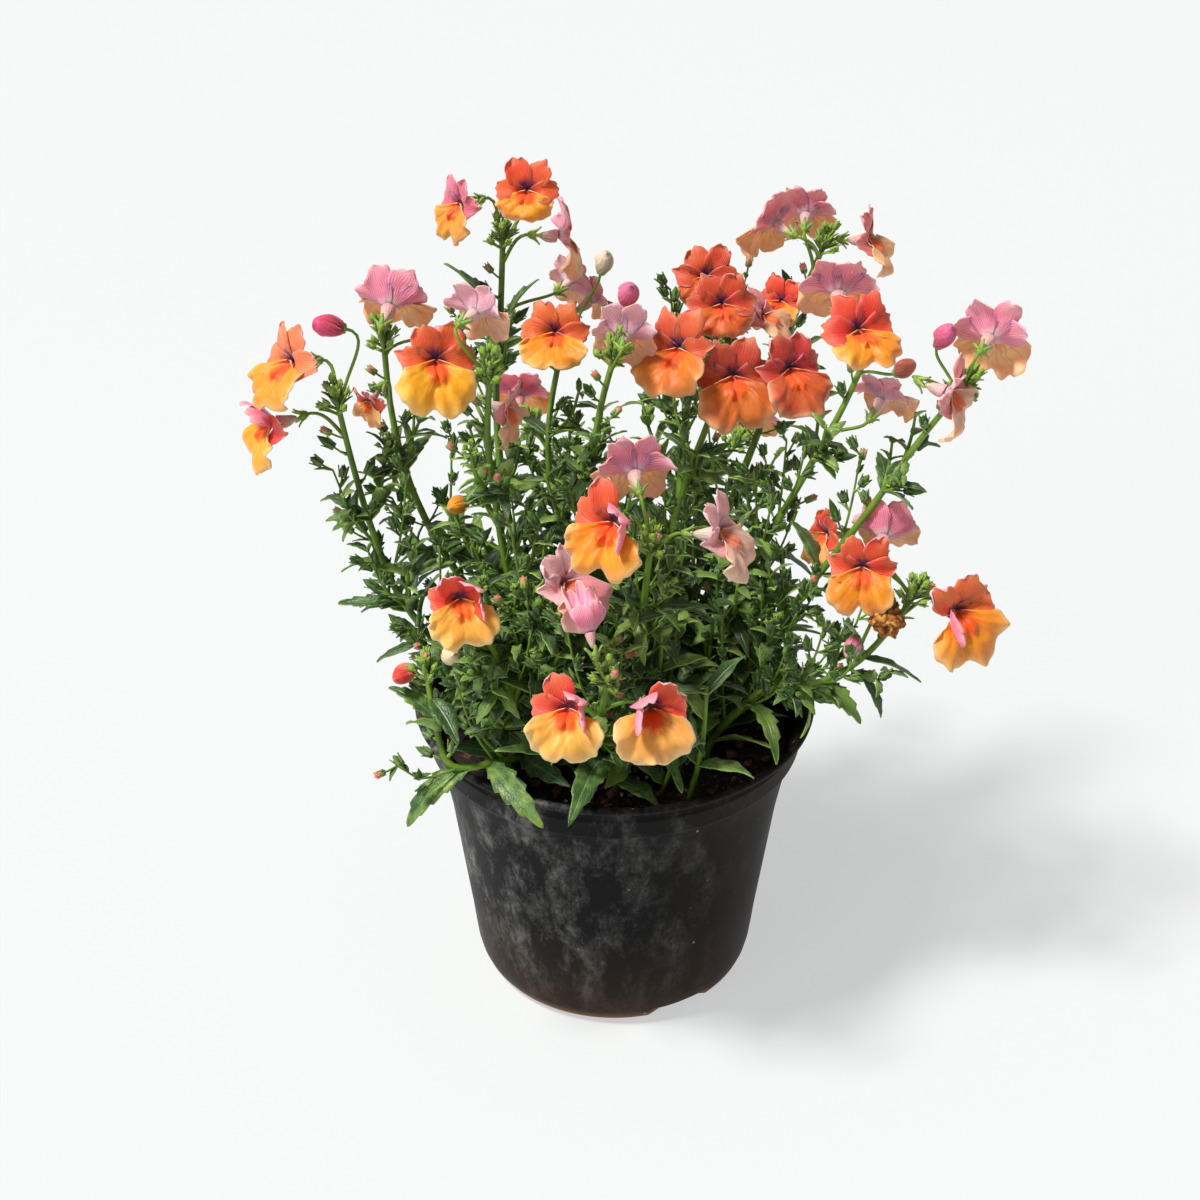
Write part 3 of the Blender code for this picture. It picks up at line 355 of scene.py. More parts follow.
# Where each stem leaves the compost (x, y), then its limbs; a side limb starts with the share of the
# first limb at which it branches.
STEMS = {
    "tall": ((-10, 20), [[(520, 560, 34), (497, 430, 46), (500, 330, 53), (503, 232, 57)]]),
    "outer_left": ((-27, -4), [[(448, 655, -14), (395, 588, -12), (360, 490, -8), (336, 398, -6)]]),
    "left": ((-19, 8), [[(478, 600, 0), (425, 520, 4), (395, 430, 8), (383, 335, 12)]]),
    "mid_left": ((-9, -8), [[(520, 610, -14), (497, 510, -15), (487, 430, -13), (490, 368, -12)]]),
    "centre": ((3, 1), [[(596, 560, 4), (593, 450, 8), (616, 350, 8)]]),
    "crown": ((13, 9), [
        [(665, 570, 14), (690, 470, 20), (716, 400, 28), (728, 350, 34)],
        [0.62, (690, 385, 44), (706, 318, 64)],
    ]),
    "far_right": ((12, 23), [[(715, 540, 42), (770, 400, 58), (800, 300, 66), (826, 240, 70)]]),
    "right": ((24, 7), [[(735, 600, 8), (790, 500, 10), (834, 425, 12), (872, 344, 18)]]),
    "outer_right": ((31, -4), [[(790, 610, -4), (855, 530, -6), (912, 450, -6), (968, 382, -6)]]),
    "front_right": ((8, -14), [[(642, 650, -26), (645, 595, -34), (652, 540, -37)]]),
    "low_left": ((-20, -20), [
        [(508, 690, -34), (496, 655, -40), (476, 626, -42)],
        [0.55, (535, 650, -33), (550, 600, -36)],
        [0.16, (487, 764, -45), (455, 768, -48), (436, 742, -44), (434, 700, -38), (426, 668, -34)],
    ]),
    "front": ((-2, -28), [[(600, 726, -50), (604, 702, -56), (608, 676, -61)]]),
    "low_right": ((27, -18), [[(765, 690, -16), (830, 680, -20), (880, 640, -20), (918, 590, -16)]]),
    "back": ((0, 33), [
        [(590, 540, 62), (560, 470, 78), (530, 420, 84)],
        [0.30, (690, 500, 74), (740, 440, 88)],
        [0.22, (560, 520, 36), (548, 440, 38), (560, 355, 42)],
    ]),
}

# Each bloom: its stem, its limb, its throat's place, the way it faces (degrees to the viewer's right,
# degrees up), its roll, how far its lower lip juts out (degrees), its size, and its age, from fresh
# coral and orange at 0 to faded pink at 1, and withered at 2.
BLOOMS = {
    "tall_a": ("tall", 0, (527, 194, 52), (-8, 16), 0, 42, 1.0, 0.05),
    "tall_b": ("tall", 0, (460, 206, 50), (-50, -6), 0, 20, 0.85, 0.5),
    "tall_c": ("tall", 0, (562, 236, 60), (105, -12), 0, 10, 1.05, 0.75),
    "tall_d": ("tall", 0, (570, 282, 72), (150, 0), 0, 10, 0.8, 0.95),
    "outer_left_a": ("outer_left", 0, (290, 364, -6), (-48, 6), 8, 30, 1.1, 0.1),
    "outer_left_b": ("outer_left", 0, (272, 424, -4), (-66, -10), 0, 25, 1.05, 0.3),
    "left_a": ("left", 0, (390, 306, 14), (170, 8), 0, 30, 1.15, 0.65),
    "left_b": ("left", 0, (370, 402, 0), (-40, -35), 0, 20, 0.6, 0.45),
    "mid_left_a": ("mid_left", 0, (436, 364, -14), (14, 12), -8, 12, 1.15, 0.0),
    "mid_left_b": ("mid_left", 0, (476, 312, -2), (150, 0), 0, 15, 0.9, 0.9),
    "mid_left_c": ("mid_left", 0, (506, 410, -6), (70, -20), 0, 10, 0.85, 0.85),
    "behind_a": ("back", 2, (555, 336, 36), (-4, 18), 0, 45, 1.05, 0.1),
    "behind_b": ("back", 2, (592, 300, 60), (130, 10), 0, 15, 0.9, 0.8),
    "centre_a": ("centre", 0, (624, 336, 14), (176, -4), 0, 15, 0.95, 0.9),
    "crown_a": ("crown", 1, (706, 280, 52), (-6, 16), 0, 40, 1.0, 0.0),
    "crown_b": ("crown", 0, (722, 308, 36), (6, 20), 0, 40, 1.05, 0.05),
    "crown_c": ("crown", 0, (678, 352, 18), (-28, 12), 8, 30, 1.15, 0.0),
    "crown_d": ("crown", 0, (733, 380, 13), (8, 10), 0, 20, 1.2, 0.05),
    "crown_e": ("crown", 0, (790, 372, 20), (26, 6), 0, 30, 1.1, 0.2),
    "crown_f": ("crown", 0, (764, 318, 42), (70, 22), 0, 10, 0.9, 0.75),
    "far_right_a": ("far_right", 0, (774, 224, 66), (-140, 2), 0, 10, 1.0, 0.7),
    "far_right_b": ("far_right", 0, (806, 214, 78), (172, 8), 0, 10, 0.95, 0.8),
    "far_right_c": ("far_right", 0, (868, 240, 70), (74, 0), 0, 25, 0.95, 0.65),
    "far_right_d": ("far_right", 0, (780, 304, 58), (-30, 25), 0, 30, 0.85, 0.2),
    "right_a": ("right", 0, (838, 292, 26), (176, 12), 0, 15, 1.2, 0.7),
    "right_b": ("right", 0, (860, 334, 0), (20, 20), 0, 45, 1.15, 0.0),
    "right_c": ("right", 0, (882, 398, 22), (150, 20), 0, 10, 0.95, 0.85),
    "outer_right_a": ("outer_right", 0, (990, 338, -4), (156, -4), 0, 10, 1.1, 0.7),
    "outer_right_b": ("outer_right", 0, (950, 394, -14), (66, -18), 12, 15, 1.05, 0.85),
    "front_right_a": ("front_right", 0, (634, 472, -26), (-172, 4), 0, 15, 1.1, 0.7),
    "front_right_b": ("front_right", 0, (612, 526, -48), (-24, 8), -6, 15, 1.15, 0.05),
    "front_right_c": ("front_right", 0, (720, 534, -36), (72, 4), 0, 20, 1.1, 0.95),
    "low_left_a": ("low_left", 0, (461, 602, -50), (10, 8), 0, 25, 1.0, 0.2),
    "low_left_b": ("low_left", 1, (566, 586, -42), (56, 20), 0, 15, 1.1, 1.0),
    "front_a": ("front", 0, (568, 712, -66), (-8, 16), 0, 15, 1.1, 0.4),
    "front_b": ("front", 0, (650, 712, -68), (12, 14), -6, 15, 1.15, 0.35),
    "front_c": ("front", 0, (589, 628, -56), (-160, 50), 0, 30, 0.8, 0.65),
    "low_right_a": ("low_right", 0, (884, 536, -8), (166, 6), 0, 15, 1.1, 0.6),
    "low_right_b": ("low_right", 0, (862, 570, -22), (-10, 0), 0, 20, 1.0, 0.1),
    "low_right_c": ("outer_right", 0, (826, 536, 2), (-65, 0), 0, 15, 0.8, 0.4),
    "low_right_d": ("low_right", 0, (958, 614, -26), (28, 2), 10, 12, 1.25, 0.05),
    "back_a": ("back", 0, (520, 396, 96), (175, 10), 0, 20, 1.05, 0.1),
    "back_b": ("back", 1, (748, 420, 100), (165, 8), 0, 25, 1.05, 0.3),
    "withered": ("low_right", 0, (887, 628, -34), (-14, -24), 0, 0, 1.0, 2),
}

# Half of an open bloom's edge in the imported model: the angle round the throat in degrees, and the
# reach in millimetres.
BLOOM_EDGE = (
    (90, 9.0), (72, 11.3), (54, 10.9), (37, 7.8), (19, 9.9),
    (0, 9.2), (-17, 5.8), (-38, 10.8), (-66, 13.0), (-90, 11.4),
)


def seen(px, py, depth):
    """The place that shows at a pixel and lies at a depth behind the pot's axis."""
    ray = AHEAD * VIEW_FOCAL + Vector((px - VIEW_CENTRE, 0, 0)) + ABOVE * (VIEW_CENTRE - py)
    return VIEW_PLACE + ray * ((depth - VIEW_PLACE.y) / ray.y)


def pixel_of(place):
    """The pixel at which a place shows, and how far ahead of the camera it lies."""
    ray = place - VIEW_PLACE
    far = ray.dot(AHEAD)
    return VIEW_CENTRE + VIEW_FOCAL * ray.x / far, VIEW_CENTRE - VIEW_FOCAL * ray.dot(ABOVE) / far, far


def heading(turn, rise):
    """The direction that points some degrees to the viewer's right, and some degrees up."""
    turn, rise = math.radians(turn), math.radians(rise)
    return Vector((math.sin(turn) * math.cos(rise), -math.cos(turn) * math.cos(rise), math.sin(rise)))


def side_of(way):
    """A level direction square to a way, or X where the way stands upright or is very short."""
    side = UP.cross(way)
    return Vector((1, 0, 0)) if side.length < 0.05 else side.normalized()


def frame_of(way, roll=0.0):
    """A turning matrix whose Z axis points along a way, with its Y axis as near upright as can be."""
    side = side_of(way)
    turned = Matrix((side, way.cross(side), way)).transposed()
    return turned @ Matrix.Rotation(math.radians(roll), 3, "Z")


def along(path, share):
    """The point at a share of a path, and the path's direction there."""
    at = min(max(share, 0.0), 1.0) * (len(path) - 1)
    low = min(int(at), len(path) - 2)
    return path[low].lerp(path[low + 1], at - low), (path[low + 1] - path[low]).normalized()


def length_of(path):
    """The length of a path."""
    return sum((q - p).length for p, q in zip(path, path[1:]))


def smooth_path(knots, count, lead=None):
    """Evenly spaced points along a soft curve through the knots, which may start in a given way."""
    before = knots[0] * 2 - knots[1]
    if lead:
        before = knots[0] - lead * (knots[1] - knots[0]).length
    ends = [before, *knots, knots[-1] * 2 - knots[-2]]
    dense = []
    for a, b, c, d in zip(ends, ends[1:], ends[2:], ends[3:]):
        for step in range(16):
            t = step / 16
            bend = (2 * a - 5 * b + 4 * c - d) * t * t + (3 * b - a - 3 * c + d) * t**3
            dense.append((b * 2 + (c - a) * t + bend) / 2)
    dense.append(knots[-1].copy())
    run = [0.0]
    for p, q in zip(dense, dense[1:]):
        run.append(run[-1] + (q - p).length)
    points = []
    at = 0
    for i in range(count):
        want = run[-1] * i / (count - 1)
        while at < len(run) - 2 and run[at + 1] < want:
            at += 1
        share = (want - run[at]) / max(run[at + 1] - run[at], 1e-9)
        points.append(dense[at].lerp(dense[at + 1], min(max(share, 0), 1)))
    return points


def limb_paths(name):
    """The limbs of a stem as paths; the first starts in the compost, the others on the first."""
    (x, y), limbs = STEMS[name]
    foot, top = Vector((x, y, SOIL_TOP - ROOT_DEPTH)), Vector((x, y, SOIL_TOP + 3))
    paths = [[foot] + smooth_path([top] + [seen(*place) for place in limbs[0]], STEM_POINTS - 1, UP * 0.8)]
    for share, *places in limbs[1:]:
        start = along(paths[0], share)[0]
        paths.append(smooth_path([start] + [seen(*place) for place in places], SHOOT_POINTS))
    return paths


def edge_reach(angle):
    """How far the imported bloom's edge lies from the throat at an angle in degrees."""
    angle = (angle + 90) % 360 - 90
    angle = angle if angle <= 90 else 180 - angle
    for (high, far), (low, near) in zip(BLOOM_EDGE, BLOOM_EDGE[1:]):
        if angle >= low:
            return near + (far - near) * (angle - low) / (high - low)
    return BLOOM_EDGE[-1][1]


def petal_form(x, y, upright, share, lip, size, wave=0.0):
    """A point of a bloom's sheet, right, up and forward of its throat: lobes lean back, the lip juts."""
    low = min(max((0.1 - upright) / 0.5, 0), 1)
    jut = math.radians(lip) * low
    high_form = 1.1 * math.sin(math.pi * share) - 3.0 * share**2
    low_form = 3.2 * math.sin(0.85 * math.pi * share)
    forward = high_form * (1 - low) + low_form * low + wave - 2.0 * (1 - share) ** 3 - y * math.sin(jut)
    return Vector((x, y * math.cos(jut), forward)) * size


def packed_petal(angle, share, size, lip, phase):
    """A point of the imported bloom's sheet at an angle round its throat, some share of the way out."""
    turn = math.radians(angle)
    reach = edge_reach(angle) * share * (0.75 + 0.25 * share)
    wave = 0.7 * share**2 * math.sin(7 * turn + phase)
    return petal_form(reach * math.cos(turn), reach * math.sin(turn), math.sin(turn), share, lip, size, wave)


def tube_seat(size):
    """The narrow end of a bloom's tube, from its throat."""
    return Vector((0, -0.6, -TUBE_LENGTH)) * size


def node_middle(name):
    """The middle of a packed bloom's box, in millimetres."""
    return sum(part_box(f"bloom_{name}"), Vector()) / (2 * MM)


def throat_of(name, turned, phase):
    """The bloom's throat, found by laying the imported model's form on its node's box."""
    lip, size = BLOOMS[name][5:7]
    half = [angle for angle, reach in BLOOM_EDGE]
    points = [tube_seat(size)]
    for angle in half + [180 - angle for angle in half[1:-1]]:
        points += [packed_petal(angle, share, size, lip, phase) for share in (0, 0.55, 1)]
        points.append(packed_petal(angle, 0.46, size, lip, phase) - Vector((0, 0, 1.1)))
    spots = [turned @ point for point in points]
    middle = [(min(p[i] for p in spots) + max(p[i] for p in spots)) / 2 for i in range(3)]
    return node_middle(name) - Vector(middle)


draw = random.Random(SEED)
paths = {name: limb_paths(name) for name in STEMS}
settled = {}
for name, (stem, limb, place, facing, roll, lip, size, age) in BLOOMS.items():
    turned = frame_of(heading(*facing), roll)
    phase = draw.uniform(0, math.tau)
    settled[name] = (node_middle(name) if age > 1 else throat_of(name, turned, phase), turned, phase)

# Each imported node's surface, to find which of a piece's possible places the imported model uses.
surfaces = {}
for name in STEMS:
    copy = bmesh.new()
    copy.from_mesh(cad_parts[f"stem_{name}"].data)
    surfaces[name] = BVHTree.FromBMesh(copy)
    copy.free()


def depth_in(stem, place):
    """How deep a place lies in a packed stem, in millimetres; below 0 it is outside."""
    spot, normal, index, distance = surfaces[stem].find_nearest(place * MM)
    return distance / MM * (1 if (place * MM - spot).dot(normal) <= 0 else -1)


def ribs(path):
    """A place and two sides at each point of a path, without a twist."""
    made = []
    side = side_of(path[1] - path[0])
    for i, point in enumerate(path):
        ahead = (path[min(i + 1, len(path) - 1)] - path[max(i - 1, 0)]).normalized()
        side = (side - ahead * side.dot(ahead)).normalized()
        made.append((point, side, ahead.cross(side)))
    return made


def sheet(bm, across, lengthwise, place, finish, tone, paint=None, closed=False):
    """Adds a grid whose point (u, v), each from 0 to 1, moves to place(u, v); a closed one is merged.

    The tone is one number for the whole sheet; paint(u, v) gives a petal's front and back colour.
    """
    cells = {"x_segments": across, "y_segments": lengthwise, "size": 0.5, "calc_uvs": True}
    made = bmesh.ops.create_grid(bm, **cells)["verts"]
    layers = bm.verts.layers
    for vertex in made:
        u, v = vertex.co.x + 0.5, vertex.co.y + 0.5
        vertex.co = place(u, v)
        vertex[layers.float["tone"]] = tone
        if paint:
            for layer, tint in zip(("front_tint", "back_tint"), paint(u, v)):
                vertex[layers.float_color[layer]] = tint
        for face in vertex.link_faces:
            face.material_index = finish
    if closed:
        bmesh.ops.remove_doubles(bm, verts=made, dist=0.001)


def fresh_mesh():
    """An empty mesh with the layers that the plant's pieces share."""
    bm = bmesh.new()
    bm.loops.layers.uv.new("UVMap")
    bm.verts.layers.float.new("tone")
    for name in ("front_tint", "back_tint"):
        bm.verts.layers.float_color.new(name)
    return bm


def stem_along(stem, path, radii, sides, tone, square=0.0):
    """A closed green stem, round or squarish; radii has a radius for each point of the path."""
    spots = ribs(path)
    last = len(spots) - 1

    def place(u, v):
        at = round(v * last)
        centre, side, up = spots[at]
        angle = math.tau * u
        radius = 0.0 if at in (0, last) else radii[at] * (1 + square * math.cos(4 * angle))
        return centre + (side * math.cos(angle) + up * math.sin(angle)) * radius

    sheet(limb_meshes[stem], sides, last, place, FRONT, tone, closed=True)


def capped(path):
    """The path with its end points doubled, so that its skin closes square at both ends."""
    return [path[0] + (path[0] - path[1]) * 0.002, *path, path[-1] + (path[-1] - path[-2]) * 0.002]


def stalk_route(name):
    """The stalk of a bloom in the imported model: the first of its possible routes that it holds."""
    stem, limb, size = BLOOMS[name][0], BLOOMS[name][1], BLOOMS[name][6]
    throat, turned, phase = settled[name]
    path, way = paths[stem][limb], turned.col[2]
    foot = throat + turned @ tube_seat(size) - way * CUP_GRIP
    choices = []
    for i in range(STALK_TRIES):
        share = FIRST_STALK + (LAST_SHARE - FIRST_STALK) * i / (STALK_TRIES - 1)
        start = along(path, share)[0]
        choices.append((abs((start - foot).length - STALK_SPAN) + 1.5 * max(0, start.z - foot.z + 2), share))
    for lean in (0.5, 0.1, 1.0, -0.3):
        for cost, share in sorted(choices)[: STALK_TRIES // 2]:
            start, tangent = along(path, share)
            leave = ((foot - start).normalized() + tangent * lean).normalized()
            pull = 0.4 * (foot - start).length
            curve = interpolate_bezier(start, start + leave * pull, foot - way * pull, foot, 9)
            spots = (start.lerp(curve[4], 0.6), curve[4], curve[4].lerp(foot, 0.5))
            if all(depth_in(stem, spot) > -STALK_SLACK for spot in spots):
                return curve
    return curve


STEM_GREEN = "#6a8c2a"
STEM_SHADE = "#32541b"
CUP_GREEN = "#7f9f36"
LIMB_TONE = 0.42
STALK_TONE = 0.62


def seep(weight, scale, radius):
    """Shader values for light that seeps through: its weight, its reach in metres, its colours."""
    return {"Subsurface Weight": weight, "Subsurface Scale": scale, "Subsurface Radius": radius}


stem_green, shader, add = new_material(
    "nemesia_stem_green",
    {"IOR": 1.42, "Roughness": 0.42} | seep(0.12, 0.001, (0.6, 1.0, 0.2)),
)
# A juicy square stem: yellow-green where light comes through it, darker along its ribs, with a thin
# wax that gives long soft glints.
place = add("TexCoord").outputs
streak = add("TexNoise", {"Vector": place["Object"], "Scale": 160, "Detail": 4})
layer = add("Attribute", attribute_name="tone").outputs["Fac"]
mixed = add("Math", [streak, layer], operation="ADD")
half = add("Math", [mixed, 0.72], operation="MULTIPLY")
tone = add("ValToRGB", [half], [(0.4, STEM_SHADE), (0.7, STEM_GREEN), (0.98, CUP_GREEN)])
ridges = add("TexWave", {"Vector": place["UV"], "Scale": 6.0, "Distortion": 0.6})
coat(shader, tone, ridges, 0.25, 0.0003)

limb_meshes = {name: fresh_mesh() for name in (*STEMS, GROUND, YOUNG)}
for name in STEMS:
    for number, path in enumerate(paths[name]):
        first = SHOOT_RADIUS if number else STEM_RADIUS
        fine = capped(smooth_path(path, 30))
        radii = [first + (TIP_RADIUS - first) * i / (len(fine) - 1) for i in range(len(fine))]
        stem_along(name, fine, radii, 12, LIMB_TONE, 0.1)
for name, bloom in BLOOMS.items():
    route = capped(smooth_path(stalk_route(name), 10))
    radii = [STALK_RADIUS * (1.25 - 0.35 * i / len(route)) for i in range(len(route))]
    stem_along(bloom[0], route, radii, 6, STALK_TONE)

# The leaves
# Opposite pairs of narrow toothed leaves, each pair a quarter turn from the last. A leaf is sunk along
# its midrib, dark green with a grey sheen above and paler below. Young shoots with small leaves grow
# from the joints and fill the bush near the pot.

LEAF_THICK = 0.35
LEAF_LENGTH = 25
LEAF_SHRINK = 11
LEAF_BROAD = 0.29
LEAF_ARCH = 0.08
LEAF_SLACK = 0.12
TIP_SLACK = 0.4
LEAF_SPACING = 36.0
LAST_LEAF = 0.74
POD_SPACING = 80.0
POD_REACH = (11, 16)
BUDS = 2
BUD_REACH = (7.5, 10)
# The turn from one shoot or bud to the next along a limb, in radians.
GOLDEN = 2.4
# Each large leaf: its stem, its limb, where on it the leaf is held, its tip's place, width and arch.
LARGE_LEAVES = (
    ("front", 0, 0.30, (570, 845, -66), 8.5, 5),
    ("front", 0, 0.22, (492, 742, -52), 6.5, 2),
    ("front", 0, 0.45, (672, 752, -56), 5.5, 2),
    ("low_left", 2, 0.42, (546, 826, -62), 8.0, 3),
    ("low_left", 2, 0.50, (408, 828, -52), 7.5, 4),
    ("low_left", 2, 0.80, (388, 688, -34), 6.5, 2),
    ("low_left", 2, 0.88, (462, 742, -50), 6.5, 1),
    ("low_left", 0, 0.62, (424, 640, -46), 6.0, 1),
    ("front_right", 0, 0.30, (690, 790, -52), 6.0, 3),
    ("front_right", 0, 0.45, (712, 752, -48), 6.0, 4),
    ("low_right", 0, 0.34, (770, 764, -40), 6.5, 6),
    ("low_right", 0, 0.55, (862, 722, -24), 7.0, 3),
    ("outer_left", 0, 0.55, (338, 606, -14), 5.5, 1),
    ("outer_left", 0, 0.50, (440, 574, -18), 5.5, 2),
    ("left", 0, 0.58, (416, 600, 6), 8.0, 3),
    ("tall", 0, 0.84, (464, 246, 52), 6.5, 2),
    ("tall", 0, 0.80, (540, 262, 50), 6.5, 2),
    ("mid_left", 0, 0.60, (545, 500, -20), 5.5, 2),
)
LEAF_DARK = "#1f3616"
LEAF_MID = "#3d5c2a"
LEAF_YOUNG = "#769240"
LEAF_RIB = "#7da866"
LEAF_BELOW = "#708a4c"
LEAF_TENDER = "#93b24e"
LEAF_VEINS = 46.0
VEIN_SLANT = -0.55


def outwards(tangent, angle):
    """A direction square to a limb, turned about it by an angle."""
    across = tangent.cross(Vector((0.3, 1, 0.2))).normalized()
    return Matrix.Rotation(angle, 3, tangent) @ across


def held_leaf(stem, root, tip, width, arch, face, choices):
    """The leaf's span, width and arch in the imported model, or None where that has no leaf."""
    axis = face.normalized()
    for swing, rise, length in choices:
        span = Matrix.Rotation(math.radians(swing), 3, axis) @ (tip - root)
        side = span.cross(axis).normalized()
        span = Matrix.Rotation(math.radians(rise), 3, side) @ span * length
        bow = span.cross(face).normalized().cross(span).normalized() * (arch * length * 4)
        spots = [root + span * share + bow * (share * (1 - share)) for share in (0.6, 0.8)]
        held = all(depth_in(stem, spot) > -LEAF_SLACK for spot in spots)
        if held and abs(depth_in(stem, root + span)) < TIP_SLACK:
            return span, width * length**0.5, arch * length
    return None


def leaf(stem, root, span, width, arch, face, draw, rows=11, columns=2):
    """A leaf with a few forward teeth, folded a little along its midrib, waved and slightly twisted."""
    side = span.cross(face).normalized()
    normal = side.cross(span).normalized()
    twist, wave, start = draw.uniform(-0.4, 0.4), draw.uniform(0.02, 0.06) * width, draw.uniform(0, 6)
    depth, period = draw.uniform(0.2, 0.34), 4 if rows > 14 else 3
    bend = draw.uniform(-0.12, 0.12) * span.length

    def place(u, v):
        hand, row, tooth = 2 * u - 1, round(v * rows), 0.0
        broad = width / 2 * max(0.13 * (1 - v), math.sin(math.pi * v**0.74) ** 0.85)
        if abs(hand) > 0.99 and 1 < row < rows:
            tooth = (row % period) / (period - 1)
            broad *= 1.08 - depth * (1 - tooth)
        out = side * math.cos(twist * v) + normal * math.sin(twist * v)
        up = normal * math.cos(twist * v) - side * math.sin(twist * v)
        fold = broad * (0.62 * abs(hand) - 0.34 * hand * hand)
        lift = fold + wave * math.sin(9 * v + 2.4 * hand + start) * abs(hand)
        bow = normal * (arch * 4 * v * (1 - v)) + side * (bend * v * v)
        return root + span * (v + 0.018 * tooth) + bow + out * (hand * broad) + up * lift

    sheet(leaf_meshes[stem], columns, rows, place, FRONT, draw.random())


def leaf_material(name, codes, gloss):
    """A leaf's face: mottled green, with a midrib, slanting side veins and a soft wax sheen."""
    values = {"IOR": 1.45, "Roughness": gloss, "Sheen Weight": 0.12}
    made, shader, add = new_material(name, values | seep(0.2, 0.0015, (0.5, 1.0, 0.2)))
    coords = add("TexCoord").outputs
    mottle = add("TexNoise", {"Vector": coords["Object"], "Scale": 240, "Detail": 4})
    tone = add("Attribute", attribute_name="tone").outputs["Fac"]
    shade = add("Math", [tone, 0.5, mottle], operation="MULTIPLY_ADD")
    green = add("ValToRGB", [shade], zip((0.4, 0.7, 0.95), codes))
    uv = add("SeparateXYZ", [coords["UV"]]).outputs
    half = add("Math", [uv["X"], 0.5], operation="SUBTRACT")
    off = add("Math", [half], operation="ABSOLUTE")
    midrib = add("MapRange", [off, 0.05, 0.0])
    slant = add("Math", [off, VEIN_SLANT, uv["Y"]], operation="MULTIPLY_ADD")
    lines = add("Math", [slant, LEAF_VEINS], operation="MULTIPLY")
    wave = add("Math", [lines], operation="SINE")
    veins = add("MapRange", [wave, 0.86, 1.0, 0.0, 0.3])
    both = add("Math", [midrib, veins], operation="MAXIMUM")
    shown = add("Math", [both, 0.6], operation="MULTIPLY")
    colour = add("Mix", {0: shown, 6: green, 7: LEAF_RIB}, data_type="RGBA").outputs[2]
    grain = add("TexNoise", {"Vector": coords["Object"], "Scale": 1500, "Detail": 2})
    sunk = add("Math", [both, -1.0, grain], operation="MULTIPLY_ADD")
    coat(shader, colour, sunk, 0.5, 0.0004)
    return made


leaf_sides = [
    leaf_material("nemesia_leaf_above", (LEAF_DARK, LEAF_MID, LEAF_YOUNG), 0.38),
    leaf_material("nemesia_leaf_below", (LEAF_MID, LEAF_BELOW, LEAF_TENDER), 0.6),
]

leaf_meshes = {name: fresh_mesh() for name in (*STEMS, GROUND, YOUNG)}
leaf_draw = random.Random(23)
swings = (0, 10, -10, 20, -20, 30, -30)
choices = [(swing, rise, fit) for fit in (1, 0.85) for rise in (0, 12, -12, 24, -24) for swing in swings]
for stem, limb, share, tip, width, arch in LARGE_LEAVES:
    root, tangent = along(paths[stem][limb], share)
    end = seen(*tip)
    face = UP + tangent * 0.5 - (end - root).normalized() * 0.2 + Vector((0, -0.4, 0))
    found = held_leaf(stem, root, end, width, arch, face, choices)
    if found:
        leaf(stem, root, *found, face, leaf_draw, 20, 6)

# The same pairs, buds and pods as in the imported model, in the same order and with the same draws.
joints = {name: [] for name in STEMS}
spindles = {name: [] for name in STEMS}
swings = (0, 25, -25, 50, -50)
choices = [(swing, rise, fit) for fit in (1, 0.75) for swing in swings for rise in (0, 25, -25)]
for name in STEMS:
    for number, path in enumerate(paths[name]):
        length = length_of(path)
        first = (SOIL_TOP - path[0].z + 7) / length if number == 0 else 0.18
        pairs = max(2, round(length / LEAF_SPACING))
        for i in range(pairs):
            share = first + (LAST_LEAF - first) * i / (pairs - 1)
            root, tangent = along(path, share)
            quarter = math.radians(90 * i + draw.uniform(-25, 25))
            face = tangent + UP * 0.6
            joints[name].append((number, share, quarter))
            for hand in (0, math.pi):
                out = outwards(tangent, quarter + hand)
                size = (LEAF_LENGTH - LEAF_SHRINK * share) * draw.uniform(0.85, 1.1)
                tip = root + (out * 0.85 + tangent * 0.45).normalized() * size - UP * (size * 0.22)
                found = held_leaf(name, root, tip, size * LEAF_BROAD, size * LEAF_ARCH, face, choices)
                if found:
                    leaf(name, root, *found, face, leaf_draw)
        pods = max(1, round(length / POD_SPACING))
        for i in range(pods + BUDS):
            is_pod = i < pods
            share = 0.62 + 0.26 * i / pods if is_pod else LAST_SHARE - 0.05 * (i - pods)
            spread = 0.8 if is_pod else 0.2 + 0.45 * (i - pods)
            root, tangent = along(path, share)
            size = draw.uniform(*POD_REACH if is_pod else BUD_REACH)
            for attempt in range(8):
                way = (outwards(tangent, GOLDEN * i + 0.8 * attempt) * spread + tangent * 0.6).normalized()
                if depth_in(name, root + way * (size * 0.85)) > 0.3:
                    spindles[name].append((root, way * size, is_pod))
                    break

# The cups, buds and pods
# A green cup of five narrow sepals holds each bloom's tube. Below the blooms hang small flat seed
# pods, each still in its dried cup, and every shoot ends in a tuft of tiny closed buds.

CUP_LENGTH = 3.4
SEPALS = 5
SEPAL_LENGTH = 3.9
TUFT_BUDS = 11
TUFT_HEIGHT = 4.0
TUFT_STALK = 0.3
TUFT_REACH = (2.2, 4.4)
HAIRS = 26
HAIR_LENGTH = (0.5, 0.9)
HAIR_ROOT = 0.05
HAIR_TIP = 0.015
CUP_RINGS = ((0, 0), (0.75, 0.25), (1.2, 1.1), (1.3, 1.9), (1.05, 2.5), (0, 2.6))
BUD_STALK = 0.32
